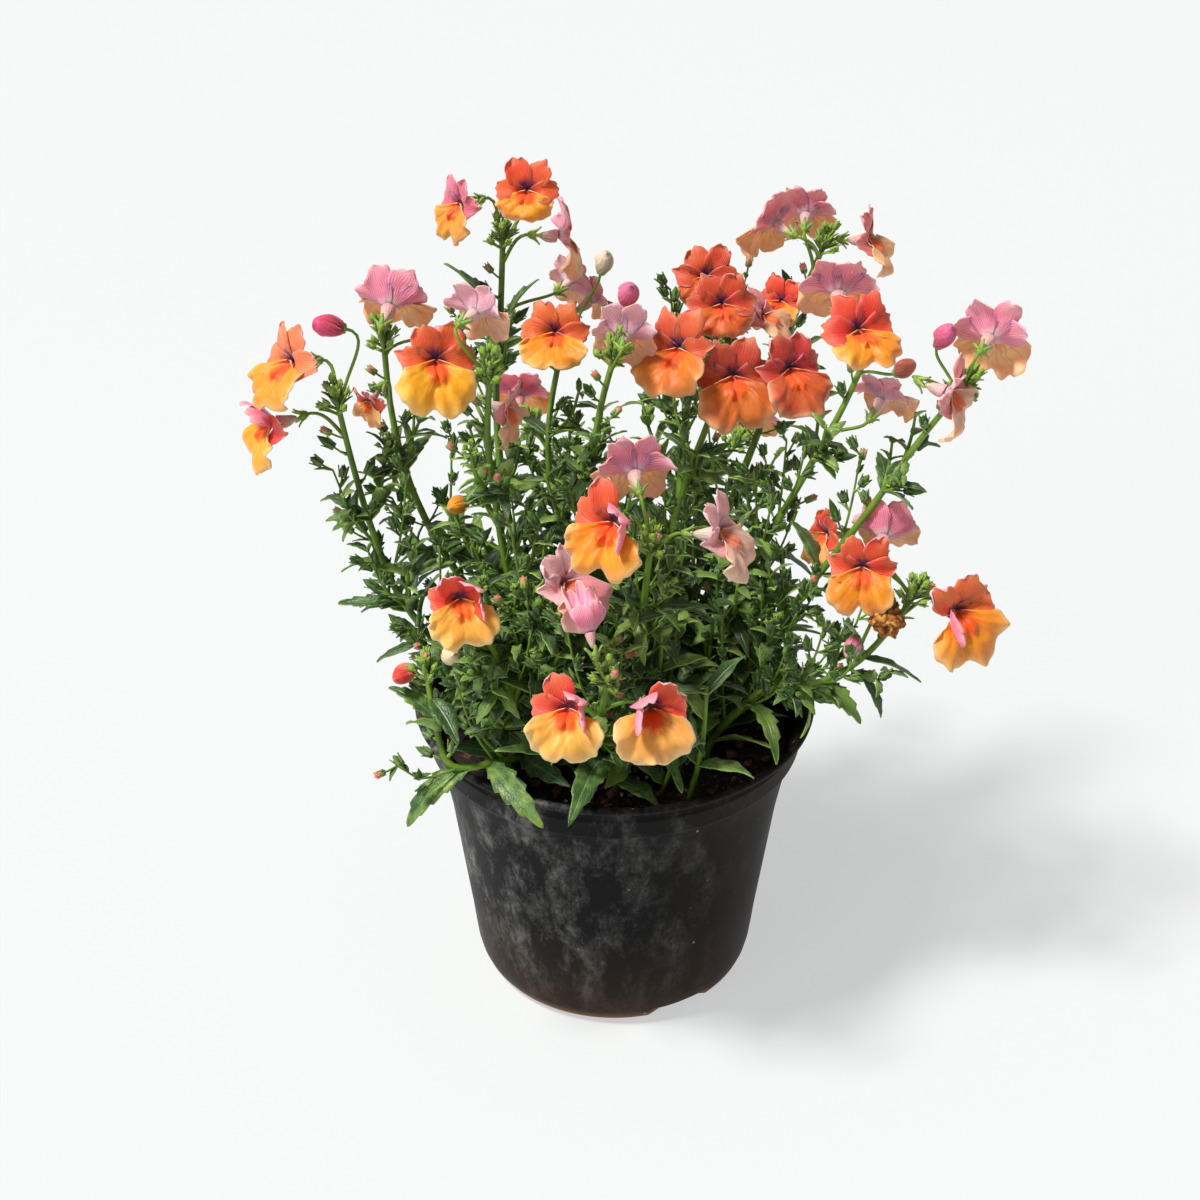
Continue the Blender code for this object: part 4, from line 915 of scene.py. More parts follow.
# A pod's and a bud's form: the stalk's share of its length, its half width, the shares of that from seat
# to tip, its material and tone, and the scale, opening and tone of its cup.
POD = (0.52, 1.25, (0.0, 0.75, 1.0, 0.92, 0.7, 0.38, 0.0), FRONT, 0.1, 1.0, 0.4, 0.15)
BUD = (0.66, 1.1, (0.0, 0.6, 0.85, 1.0, 0.9, 0.55, 0.0), BACK, 0.5, 0.85, 0.1, 0.6)
TINY_BUD = (0.0, 0.8, 1.0, 0.85, 0.5, 0.0)
BUD_COLOURS = ("#8ea24a", "#d9a05c", "#cf6a6a")
BUD_SHINE = {"IOR": 1.42, "Roughness": 0.5, "Sheen Weight": 0.3}


def around(radius, angle, lift=0.0):
    """A point at a distance and an angle round Z."""
    return Vector((radius * math.cos(angle), radius * math.sin(angle), lift))


def sepals(stem, seat, turned, scale, open_out, tone, rows=5, count=SEPALS):
    """Narrow pointed sepals that stand round a place and open by some share."""
    way = turned.col[2]
    for i in range(count):
        angle = math.tau * (i + 0.25) / count
        out, across = turned @ around(1, angle), turned @ around(1, angle - math.pi / 2)

        def place(u, v):
            hand = 2 * u - 1
            broad = 0.62 * (1 - 0.94 * v**1.6) * scale
            lift = SEPAL_LENGTH * v * (1 - 0.3 * open_out * v) * scale
            reach = (0.95 + 2.0 * open_out * v**1.3 - 0.25 * hand * hand) * scale
            return seat + out * reach + way * lift + across * (hand * broad)

        sheet(leaf_meshes[stem], 2 if rows > 3 else 1, rows, place, BACK, tone)


def turned_skin(stem, root, turned, rings, sides, finish, tone):
    """A closed skin of rings (radius, height) round a line, from its lowest to its highest ring."""
    last = len(rings) - 1

    def place(u, v):
        radius, lift = rings[round(v * last)]
        return root + turned @ around(radius, math.tau * u, lift)

    sheet(limb_meshes[stem], sides, last, place, finish, tone, closed=True)


def hairs(stem, root, turned, radius, high, draw):
    """Short stiff hairs that stand out all round a cup."""
    for i in range(HAIRS):
        angle, length = draw.uniform(0, math.tau), draw.uniform(*HAIR_LENGTH)
        out = turned @ around(1, angle, draw.uniform(-0.3, 0.3))
        middle = root + turned.col[2] * draw.uniform(0.1, high) + out * (radius + length / 2 - 0.1)
        at = Matrix.Translation(middle) @ out.to_track_quat("Z", "Y").to_matrix().to_4x4()
        hair = {"cap_ends": True, "segments": 3, "radius1": HAIR_ROOT, "radius2": HAIR_TIP}
        bmesh.ops.create_cone(limb_meshes[stem], depth=length, matrix=at, **hair)


def cup(stem, seat, turned, draw):
    """The green cup behind a bloom: a hairy round base with its sepals."""
    base = seat - turned.col[2] * CUP_LENGTH
    turned_skin(stem, base, turned, CUP_RINGS, 10, FRONT, 0.95)
    sepals(stem, base + turned.col[2] * 1.2, turned, 1.0, 0.9, 0.85)
    hairs(stem, base, turned, 1.1, 2.0, draw)


def bud(stem, root, reach, is_pod):
    """A closed bud, or a seed pod, in its cup on a thin stalk that sags a little."""
    share, fat, widths, finish, tone, *cup_form = POD if is_pod else BUD
    size, way = reach.length, reach.normalized()
    turned = frame_of(way)
    sags = [0.24 * size * (i / 9) * (1 - i / 9) for i in range(7)]
    stalk = capped([root + reach * (share * i / 6) - UP * sag for i, sag in enumerate(sags)])
    stem_along(stem, stalk, [BUD_STALK] * len(stalk), 5, 0.6)
    rings = [(fat * width, size * (1 - share) * i / 6) for i, width in enumerate(widths)]
    turned_skin(stem, stalk[-1], turned, rings, 8, finish, tone)
    sepals(stem, stalk[-1] - way * 0.4, turned, *cup_form, 3)


def tuft(stem, path, draw, count=TUFT_BUDS, scale=1.0):
    """A tuft of tiny closed buds and narrow bracts at the end of a shoot."""
    top, tangent = along(path, 1.0)
    for i in range(count):
        share = i / count
        out = outwards(tangent, GOLDEN * i)
        way = (tangent * (0.35 + 1.1 * share) + out * (1.0 - 0.75 * share) + UP * 0.2).normalized()
        turned = frame_of(way)
        root = top - tangent * ((1 - share) * TUFT_HEIGHT * scale)
        length = draw.uniform(*TUFT_REACH) * scale
        stalk = capped([root + way * (length * j / 3) for j in range(4)])
        stem_along(stem, stalk, [TUFT_STALK * scale] * len(stalk), 5, 0.75)
        fat = draw.uniform(0.55, 1.0) * scale
        rings = [(fat * width, fat * 2.4 * j / 5) for j, width in enumerate(TINY_BUD)]
        turned_skin(stem, stalk[-1], turned, rings, 6, FRONT, draw.uniform(0.8, 1.0))
        seat = stalk[-1] - way * (0.3 * scale)
        sepals(stem, seat, turned, 0.55 * scale, 0.25, draw.uniform(0.75, 1.0), 3, 3)
        bract = way * (3.5 * scale) + out * (1.5 * scale)
        leaf(stem, root, bract, 1.1 * scale, 0.3, tangent + UP * 0.3, draw, 5)


bud_skin, shader, add = new_material("nemesia_bud_rose_green", BUD_SHINE)
# A closed bud is green at its base and rosy where the folded petals show, with a velvet skin.
coords = add("TexCoord").outputs
height = add("SeparateXYZ", [coords["UV"]]).outputs["Y"]
mottle = add("TexNoise", {"Vector": coords["Object"], "Scale": 300, "Detail": 3})
place = add("Math", [mottle, 0.4, height], operation="MULTIPLY_ADD")
blush = add("ValToRGB", [place], zip((0.35, 0.62, 0.95), BUD_COLOURS))
fill(shader, {"Base Color": blush})

tuft_draw = random.Random(31)
for name, (stem, limb, place, facing, roll, lip, size, age) in BLOOMS.items():
    throat, turned, phase = settled[name]
    cup(stem, throat + turned @ tube_seat(size), turned, tuft_draw)
for name in STEMS:
    for spindle in spindles[name]:
        bud(name, *spindle)
    for path in paths[name]:
        tuft(name, path, tuft_draw, scale=1.3)

# The undergrowth
# Young shoots rise from the joints of the stems and from the crown at the compost. They carry pairs
# of small leaves, close together near the pot and airy above, and some end in a tuft of buds.

GROUND_SHOOTS = 70
GROUND_RADIUS = 46
SIDE_SHOOTS = dict.fromkeys(STEMS, 8)
POD_STALKS = dict.fromkeys(STEMS, 9)
MANY_TWIGS = {"right": 13, "outer_right": 13, "far_right": 11, "low_right": 9, "outer_left": 9}
TWIGS = dict.fromkeys(STEMS, 6) | MANY_TWIGS
BLOOM_ROOM = 11.0
SIGHT_ROOM = 36
POT_ROOM = 4.0
# The lengths of the shoots that leave the joints, the limbs and the compost, of the pods' stalks and of
# the twigs, then of the leaves on the shoots from the compost.
JOINT_SHOOT = (14, 34)
SIDE_SHOOT = (12, 30)
GROUND_SHOOT = (26, 62)
POD_STALK = (7, 15)
TWIG = (18, 38)
GROUND_LEAF = (19, 30)
TWIG_RADIUS = 0.46
# Places left open to view, as a pixel and a radius: the compost at the front, then the shoot that bends
# over the rim.
OPEN_SIGHT = (
    (520, 774, 24), (592, 782, 16), (655, 778, 18), (735, 742, 30),
    (484, 764, 14), (454, 766, 14), (437, 742, 14), (434, 714, 14), (431, 690, 13),
)
throats = [(throat, pixel_of(throat)) for throat, turned, phase in settled.values()]
growth = random.Random(47)


def is_free(spot):
    """Whether a leaf can reach a place: clear of the pot and blooms, and not in front of a bloom."""
    radius = spot.xy.length
    if spot.z < SOIL_TOP + 1.5 or (radius > RIM_RADIUS - 9 and spot.z < POT_HEIGHT + POT_ROOM):
        return False
    px, py, far = pixel_of(spot)
    if spot.y < 0 and any(math.hypot(px - x, py - y) < room for x, y, room in OPEN_SIGHT):
        return False
    for throat, (sx, sy, distance) in throats:
        if (spot - throat).length < BLOOM_ROOM:
            return False
        if math.hypot(px - sx, py - sy) < SIGHT_ROOM and far < distance:
            return False
    return True


def shoot(stem, root, way, length, leaf_size, pairs, rise=0.55):
    """A leafy side shoot that leaves one way and bends up; gives its path, or None without room."""
    middle = root + way * (0.55 * length)
    end = middle + (way * (1 - rise) + UP * rise).normalized() * (0.5 * length)
    path = smooth_path([root, middle, end], 9)
    if not all(is_free(spot) for spot in path[4:]):
        return None
    thick, fine = 0.45 + 0.012 * length, capped(path)
    radii = [thick * (1.0 - 0.5 * i / len(fine)) for i in range(len(fine))]
    stem_along(stem, fine, radii, 6, 0.5)
    start = growth.uniform(0, math.tau)
    for i in range(pairs):
        share = (i + 1) / (pairs + 0.3)
        joint, tangent = along(path, share)
        for hand in (0, math.pi):
            out = outwards(tangent, start + math.pi / 2 * i + hand + growth.uniform(-0.4, 0.4))
            size = leaf_size * (1.0 - 0.5 * share) * growth.uniform(0.75, 1.2)
            span = (out * 0.85 + tangent * growth.uniform(0.3, 0.8)).normalized() * size
            span -= UP * (size * growth.uniform(0.0, 0.4))
            if is_free(joint + span) and is_free(joint + span * 0.6):
                width = size * growth.uniform(0.26, 0.4)
                leaf(stem, joint, span, width, size * 0.1, tangent + UP * 0.6, growth, 8)
    return path


def twig(stem, root, way, length):
    """A thin side stalk that has shed its blooms: small bracts, and pods on hair-thin stalks."""
    end = root + way * (0.8 * length) + UP * (0.25 * length)
    path = smooth_path([root, root + way * (0.5 * length), end], 8)
    if not all(is_free(spot) for spot in path[3:]):
        return
    stem_along(stem, capped(path), [TWIG_RADIUS - 0.02 * i for i in range(10)], 5, 0.5)
    for i in range(4):
        joint, tangent = along(path, 0.4 + 0.2 * i)
        out = outwards(tangent, GOLDEN * i + growth.uniform(-0.6, 0.6))
        bud(stem, joint, (out * 0.75 + tangent).normalized() * growth.uniform(6, 10), growth.random() < 0.9)
        bract = out * growth.uniform(3, 6) + tangent * 2.0
        leaf(stem, joint, bract, 1.5, 0.3, tangent + UP * 0.3, growth, 4)


def spaced(counts, first, span, sway, loose):
    """Places along every limb, each turned on from the last: its stem, share, root, tangent, way out."""
    for name in STEMS:
        for path in paths[name]:
            for i in range(counts[name]):
                step = i + growth.random() if loose else i
                share = first + span * step / counts[name]
                root, tangent = along(path, share)
                yield name, share, root, tangent, outwards(tangent, GOLDEN * i + growth.uniform(-sway, sway))


for name in STEMS:
    for number, share, quarter in joints[name]:
        for hand in (0, math.pi):
            root, tangent = along(paths[name][number], share)
            length = growth.uniform(*JOINT_SHOOT) * (1.15 - 0.6 * share)
            way = (outwards(tangent, quarter + hand) * 0.8 + tangent * 0.8).normalized()
            size = (18 - 9 * share) * growth.uniform(0.8, 1.1)
            made = shoot(name, root, way, length, size, 3 + (length > 20))
            if made and growth.random() < 0.3:
                tuft(name, made, growth, 5, 0.7)
for name, share, root, tangent, out in spaced(SIDE_SHOOTS, 0.12, 0.72, 0.6, True):
    length = growth.uniform(*SIDE_SHOOT) * (1.2 - 0.7 * share)
    size = (19 - 9 * share) * growth.uniform(0.8, 1.1)
    shoot(name, root, (out * 0.85 + tangent * 0.7).normalized(), length, size, 3 + (length > 18))
for name, share, root, tangent, out in spaced(POD_STALKS, 0.38, 0.56, 0.5, False):
    reach = (out * 0.8 + tangent * 0.7).normalized() * growth.uniform(*POD_STALK)
    if is_free(root + reach):
        bud(name, root, reach, growth.random() < 0.88)
        bract = out * growth.uniform(2.5, 5) + tangent * 1.5
        leaf(name, root, bract, 1.5, 0.3, tangent + UP * 0.3, growth, 5)
for name, share, root, tangent, out in spaced(TWIGS, 0.22, 0.46, 0.6, True):
    twig(name, root, (out * 0.5 + tangent * 0.6 + UP * 0.4).normalized(), growth.uniform(*TWIG))

for i in range(GROUND_SHOOTS):
    angle, radius = GOLDEN * i, GROUND_RADIUS * math.sqrt((i + 0.5) / GROUND_SHOOTS)
    root = around(radius, angle)
    root.z = soil_height(root.x, root.y) - 1.5
    lean = around(1, angle) * (0.25 + 0.6 * radius / GROUND_RADIUS)
    way = (UP + lean * growth.uniform(0.3, 0.9)).normalized()
    length = growth.uniform(*GROUND_SHOOT) * (1.1 - 0.4 * radius / GROUND_RADIUS)
    shoot(GROUND, root, way, length, growth.uniform(*GROUND_LEAF), 4 + (length > 40), 0.7)
finish_piece("undergrowth_stems", limb_meshes[GROUND], [stem_green])
finish_piece("undergrowth_leaves", leaf_meshes[GROUND], leaf_sides, [], LEAF_THICK)

for name in STEMS:
    finish_piece(f"limbs_{name}", limb_meshes[name], [stem_green, bud_skin], [f"stem_{name}"])
    finish_piece(f"leaves_{name}", leaf_meshes[name], leaf_sides, [], LEAF_THICK)

# The blooms
# Each open bloom is thin petal: four rounded upper lobes and a broad, ruffled lower lip with a notch
# and a raised palate, on a short tube. Faces are coral and orange, backs pink with darker veins.

PETAL_THICK = 0.25
PETAL_VEINS = 74.0
PETAL_REACH = 11.8
LIP_REACH = 12.2
# Each upper lobe: its angle round the throat, its reach, half its width, and how far in front it lies.
UPPER_LOBES = ((63, 11.0, 3.75, 0.0), (117, 11.0, 3.75, 0.3), (12, 9.7, 3.7, 0.7), (168, 9.7, 3.7, 0.9))
LIP_FROM = -4
LIP_SPREAD = 172
LIP_RISE = 1.1
# The lobes that fold forward and show their backs, by their number, with how far each curls (radians).
FOLDED = {
    "front_a": {0: 1.9, 2: 2.1},
    "front_b": {1: 2.0, 3: 2.2, 0: 1.1},
    "low_right_d": {3: 2.1},
    "low_left_a": {0: 1.6, 2: 2.0, 1: 0.8},
    "outer_left_b": {0: 1.5, 1: 1.4},
    "front_right_b": {0: 1.7, 2: 2.0},
    "front_c": {0: 1.7, 1: 1.8, 2: 1.9, 3: 1.7},
    "low_right_a": {0: 1.0, 1: 1.2, 2: 0.9, 3: 1.1},
    "left_a": {0: 0.9, 1: 1.0, 2: 0.7, 3: 0.7},
}
# Lower lips that close up towards the lobes, or roll back below 0, and how far each curls (radians).
CURLED_LIPS = {
    "front_c": 1.8,
    "low_right_a": 0.8,
    "tall_a": -0.9,
    "crown_a": -0.9,
    "crown_b": -0.9,
    "right_b": -0.6,
}
THROAT = "#40124e"
THROAT_RED = "#b0300f"
PALATE = "#f45c0c"
BACK_WHITE = "#f3e2d6"
TUBE_GREEN = "#d3d8ae"
LIP_BACK = "#ffc98c"
LIP_EDGE = "#fde3b4"
LOBE_EDGE = "#f9bd9a"
BACK_EDGE = "#fbdfe0"
# Petal colours from fresh to faded, with each one's age.
UPPER_FACES = ((0.0, "#db4a20"), (0.4, "#df452c"), (0.7, "#e2767c"), (1.0, "#f0a9ae"))
LIP_FACES = ((0.0, "#f48c12"), (0.2, "#f59426"), (0.4, "#f2a35a"), (0.7, "#eaa678"), (1.0, "#f0b3a4"))
BACKS = ((0.0, "#f06486"), (0.5, "#f07894"), (0.8, "#f392aa"), (1.0, "#f9bcc6"))
# Blooms whose colours differ from their age's: salmon, coral red or yellow. The crown blooms' darker red and
# ochre are painted shade.
UPPER_TINTS_AND_PAINTED_SHADE = {
    "outer_left_a": "#ee7a4a",
    "outer_left_b": "#d8463c",
    "low_right_d": "#e2642c",
    "tall_b": "#dc6a86",
    "tall_a": "#da4a1e",
    "mid_left_a": "#e45a2a",
    # Painted shade: the crown blooms shade each other, so their lobes are given darker reds.
    "crown_a": "#c44620",
    "crown_b": "#c3421f",
    "crown_c": "#d2552c",
    "crown_d": "#ba4228",
    "crown_e": "#bc3630",
    "right_b": "#e0402c",
    "behind_a": "#e0642c",
    "front_c": "#ee8fae",
    "low_left_b": "#f6aeb6",
}
LIP_TINTS_AND_PAINTED_SHADE = {
    "low_left_a": "#f3a23c",
    "low_right_b": "#ee8410",
    "low_right_d": "#ee8a1a",
    "tall_b": "#e0902c",
    "outer_left_b": "#f59a10",
    "mid_left_a": "#f9a114",
    # Painted shade: the crown's lips are given darker ochre oranges.
    "crown_a": "#c8551c",
    "crown_b": "#cc5c1c",
    "crown_c": "#d47016",
    "crown_d": "#c46014",
    "crown_e": "#c05024",
    "front_a": "#f5a546",
    "front_b": "#f09c48",
    "front_c": "#ee9db8",
    "low_left_b": "#ea8792",
}


def blend(first, second, share):
    """A linear colour between two colours, each a hex code or linear."""
    share = min(max(share, 0), 1)
    pair = [to_linear(colour) if isinstance(colour, str) else colour for colour in (first, second)]
    return tuple(a + (b - a) * share for a, b in zip(*pair))


def petal_at(x, y, lip, size):
    """The bloom's sheet at a place in its plane."""
    reach = math.hypot(x, y)
    return petal_form(x, y, y / max(reach, 0.01), min(reach / PETAL_REACH, 1.12), lip, size)


def curled(run, bend):
    """How far a petal runs on and how far it lifts where it is rolled up by an angle."""
    bend += 1e-6
    return run * math.sin(bend) / bend, run * (1 - math.cos(bend)) / bend


def aged(stops, age):
    """The colour of an age between the stops round it."""
    for (young, first), (old, second) in zip(stops, stops[1:]):
        if age <= old:
            return blend(first, second, (age - young) / (old - young))
    return to_linear(stops[-1][1])


def petal_tints(name, age, kind):
    """The colours of a petal's face near the throat, in the middle and at the edge, then of its back."""
    # A listed tint is the bloom's own colour, and for the crown blooms it is also painted shade.
    if kind == "lip":
        face = to_linear(LIP_TINTS_AND_PAINTED_SHADE[name]) if name in LIP_TINTS_AND_PAINTED_SHADE else aged(LIP_FACES, age)
        faces = blend(PALATE, face, 0.75 * max(0, age - 0.5)), face, blend(face, LIP_EDGE, 0.5)
    else:
        face = to_linear(UPPER_TINTS_AND_PAINTED_SHADE[name]) if name in UPPER_TINTS_AND_PAINTED_SHADE else aged(UPPER_FACES, age)
        faces = blend(THROAT, face, 0.4 * age), face, blend(face, LOBE_EDGE, 0.3)
    rosy = aged(BACKS, age)
    return faces, (to_linear(BACK_WHITE), rosy, blend(rosy, BACK_EDGE, 0.35))


def lobe(bm, name, number, curl, draw):
    """One rounded upper lobe: cupped across, twisted, waved at its edge, and curled where it folds."""
    throat, turned, phase = settled[name]
    lip, size, age = BLOOMS[name][5:]
    angle, reach, half, ahead = UPPER_LOBES[number]
    angle = math.radians(angle + draw.uniform(-5, 5))
    out, across = around(1, angle), around(1, angle - math.pi / 2)
    reach, half = reach * draw.uniform(0.93, 1.06), half * draw.uniform(0.9, 1.08)
    cupped, twist, beat = draw.uniform(-0.3, 0.9), draw.uniform(-0.35, 0.35), draw.uniform(2.5, 4.5)
    faces, backs = petal_tints(name, age, "lobe")
    mark = (0.29 if number < 2 else 0.19) * draw.uniform(0.85, 1.2)

    def place(u, v):
        hand, v = 2 * u - 1, 1 - (1 - v) ** 1.5
        broad = half * (0.3 + 0.7 * math.sin(math.pi / 2 * min(v / 0.64, 1)))
        broad *= math.sqrt(max(0, 1 - 0.82 * max(0, (v - 0.66) / 0.34) ** 2))
        broad *= 1 + 0.22 * v * noise.noise(Vector((2.2 * math.copysign(1, hand), 5 * v, phase + number)))
        far = hand * broad / half
        edge = 0.05 * math.sin(5.5 * far + phase + number) + 0.035 * math.sin(11 * far + 3 * phase)
        run = (reach - 0.4) * v * (1 - 0.1 * hand * hand * v + 0.8 * edge * v**3)
        run, lift = curled(run, curl * v)
        flat = out * (0.4 + run) + across * (hand * broad)
        wave = 0.45 * v * v * math.sin(beat * hand + phase + 2 * number) + cupped * hand * hand * v
        wave += broad * hand * math.sin(twist * v)
        wave += 0.9 * v * noise.noise(Vector((1.8 * hand, 3 * v, phase + number)))
        if number > 1:
            wave = min(wave, 0.3)
        forward = Vector((0, 0, ahead * min(1, 3 * v) + lift + wave)) * size
        return throat + turned @ (petal_at(flat.x, flat.y, lip, size) + forward)

    def paint(u, v):
        side, v = abs(2 * u - 1), 1 - (1 - v) ** 1.5
        front = blend(faces[0], faces[1], (v - mark + 0.18 * side + 0.06 * math.sin(26 * u)) / 0.12)
        front = blend(front, faces[2], max(v**7, 0.7 * side**8 * v))
        back = blend(backs[0], backs[1], (v + 0.08) / 0.34)
        return front, blend(back, backs[2], v**4)

    sheet(bm, 8, 11, place, FRONT, 0.2, paint)


def lower_lip(bm, name, draw):
    """The broad lower lip: ruffled lobes with a notch, and a raised palate that closes the throat."""
    throat, turned, phase = settled[name]
    lip, size, age = BLOOMS[name][5:]
    faces, backs = petal_tints(name, age, "lip")
    beat, notch = draw.uniform(7.0, 9.5), draw.uniform(1.6, 3.2)
    first, second = draw.uniform(0, 6), draw.uniform(0, 6)

    def place(u, v):
        off = 2 * u - 1
        angle = math.radians(LIP_FROM - LIP_SPREAD * u)
        reach = LIP_REACH - notch * math.exp(-((off / 0.1) ** 2)) - 4.6 * abs(off) ** 3
        reach += 0.35 * math.sin(15 * off + first) + 0.2 * math.sin(34 * off + second)
        palate = 3.1 * math.exp(-(((v - 0.2) / 0.11) ** 2)) * math.exp(-((off / 0.5) ** 4))
        palate *= 1 - 0.5 * math.exp(-((off / 0.1) ** 2))
        ruffle = v**2.2 * (1.35 * math.sin(beat * off + first) + 0.45 * math.sin(2.3 * beat * off + second))
        ruffle += v * 0.8 * abs(off) ** 3 + 0.35 * v**6 * math.sin(26 * off + first)
        ruffle += 1.1 * v * noise.noise(Vector((5 * off, 3.5 * v, phase)))
        run, lift = curled(0.3 + (reach + LIP_RISE * (1 - v)) * v, CURLED_LIPS.get(name, 0) * v)
        point = petal_at(run * math.cos(angle), run * math.sin(angle) + LIP_RISE * (1 - v), lip, size)
        forward = Vector((0, 0, palate + ruffle + lift + 0.9 + 0.8 * off * off)) * size
        return throat + turned @ (point + forward)

    def paint(u, v):
        off = abs(2 * u - 1)
        front = blend(faces[0], faces[1], (v - 0.3 + 0.16 * off) / 0.14)
        front = blend(blend(THROAT_RED, front, (v - 0.01) / 0.1), faces[2], v**9)
        back = blend(backs[0], blend(faces[1], LIP_BACK, 0.45), (v + 0.12) / 0.36)
        return front, blend(THROAT_RED, blend(back, backs[1], 0.25 * v), v / 0.08)

    sheet(bm, 48, 14, place, FRONT, 0.8, paint)


def flower_tube(bm, name):
    """The short tube behind the throat, narrow at its seat, with a pouch below."""
    throat, turned, phase = settled[name]
    size, age = BLOOMS[name][6:]
    rings = ((0.0, -7.0), (0.5, -6.8), (0.85, -6.0), (1.15, -4.6), (1.5, -3.2), (1.75, -2.4), (1.9, -1.7))
    faces, backs = petal_tints(name, age, "lobe")

    def place(u, v):
        radius, ahead = rings[round(v * 6)]
        pouch = 0.9 * math.exp(-(((ahead + 4) / 1.6) ** 2)) if 0.5 < u < 1 else 0
        sag = Vector((0, 0.6 * (ahead / TUBE_LENGTH) ** 2 + pouch, 0))
        return throat + turned @ ((around(radius, math.tau * u, ahead) - sag) * size)

    def paint(u, v):
        return faces[0], blend(TUBE_GREEN, backs[1], 0.1 + 0.8 * v)

    sheet(bm, 12, 6, place, BACK, 0.5, paint, closed=True)


def petal_material(name, tint, roughness, vein):
    """A petal's side: its tint with fine veins along it, a velvet sheen and light that seeps through."""
    values = {"IOR": 1.4, "Roughness": roughness, "Sheen Weight": 0.2}
    made, shader, add = new_material(name, values | seep(0.5, 0.002, (1.0, 0.5, 0.25)))
    coords = add("TexCoord").outputs
    colour = add("VertexColor", layer_name=tint)
    uv = add("SeparateXYZ", [coords["UV"]]).outputs
    bent = add("TexNoise", {"Vector": coords["Object"], "Scale": 180, "Detail": 3})
    warp = add("Math", [bent, 0.28, uv["X"]], operation="MULTIPLY_ADD")
    lines = add("Math", [warp, PETAL_VEINS], operation="MULTIPLY")
    wave = add("Math", [lines], operation="SINE")
    thin = add("MapRange", [wave, 0.3, 1.0, 0.0, vein])
    fade = add("MapRange", [uv["Y"], 1.0, 0.35])
    veins = add("Math", [thin, fade], operation="MULTIPLY")
    deep = add("HueSaturation", {"Saturation": 1.15, "Value": 0.6, "Color": colour})
    mixed = add("Mix", {0: veins, 6: colour, 7: deep}, data_type="RGBA").outputs[2]
    cloud = add("TexNoise", {"Vector": coords["Object"], "Scale": 420, "Detail": 5})
    light = add("MapRange", [cloud, 0.0, 1.0, 0.84, 1.16])
    hue = add("MapRange", [bent, 0.0, 1.0, 0.482, 0.516])
    toned = add("HueSaturation", {"Hue": hue, "Value": light, "Color": mixed})
    fine = add("Math", [wave, 0.12, cloud], operation="MULTIPLY_ADD")
    coat(shader, toned, fine, 0.5, 0.0004)
    return made


petal_sides = [
    petal_material("nemesia_petal_face", "front_tint", 0.5, 0.24),
    petal_material("nemesia_petal_back", "back_tint", 0.6, 0.8),
]

for name, (stem, limb, place, facing, roll, lip, size, age) in BLOOMS.items():
    if age > 1:
        continue
    bm = fresh_mesh()
    petal_draw = random.Random(name)
    for number in range(len(UPPER_LOBES)):
        own = petal_draw.uniform(-0.1, 0.5) if number < 2 else petal_draw.uniform(-0.3, 0.0)
        lobe(bm, name, number, FOLDED.get(name, {}).get(number, own), petal_draw)
    lower_lip(bm, name, petal_draw)
    flower_tube(bm, name)
    finish_piece(f"bloom_{name}_petals", bm, petal_sides, [f"bloom_{name}"], PETAL_THICK)

# The folded young blooms
# Blooms that haven't opened yet, and a few that have closed again: their petals are wrapped round each
# other into a small egg, rosy outside, on a stalk in a green cup. They are petals as the others are.

# Each one's stem, limb, place, heading, length, tint near its cup and tint at its tip.
YOUNG_BLOOMS = (
    ("centre", 0, (628, 294, 18), (10, 50), 9.5, "#c83a5e", "#ec6f94"),
    ("outer_right", 0, (945, 336, -4), (30, 55), 9.0, "#b8344c", "#e8688e"),
    ("outer_left", 0, (328, 326, -6), (-60, 20), 9.5, "#b53648", "#e2486c"),
    ("back", 2, (604, 262, 50), (20, 60), 8.5, "#9fae52", "#f2cdb4"),
    ("right", 0, (905, 368, 12), (40, 40), 8.0, "#8a4a3a", "#b8604a"),
    ("low_right", 0, (852, 648, -26), (-20, -20), 7.5, "#c4506a", "#ec86a0"),
    ("low_left", 2, (404, 674, -36), (-30, 5), 8.5, "#e2c8b0", "#e2472c"),
    ("low_left", 0, (450, 655, -44), (20, 30), 8.0, "#c89a68", "#efc9a0"),
    ("mid_left", 0, (458, 505, -8), (-30, 10), 8.0, "#c46a1c", "#f08e1c"),
    ("mid_left", 0, (512, 489, -4), (40, 10), 7.5, "#a8541c", "#e07a20"),
    ("left", 0, (440, 334, 10), (30, 30), 7.5, "#a8b85c", "#e08aa0"),
    ("front", 0, (610, 668, -54), (-20, 60), 6.5, "#8aa24a", "#d97a90"),
)
YOUNG_STALK = 11

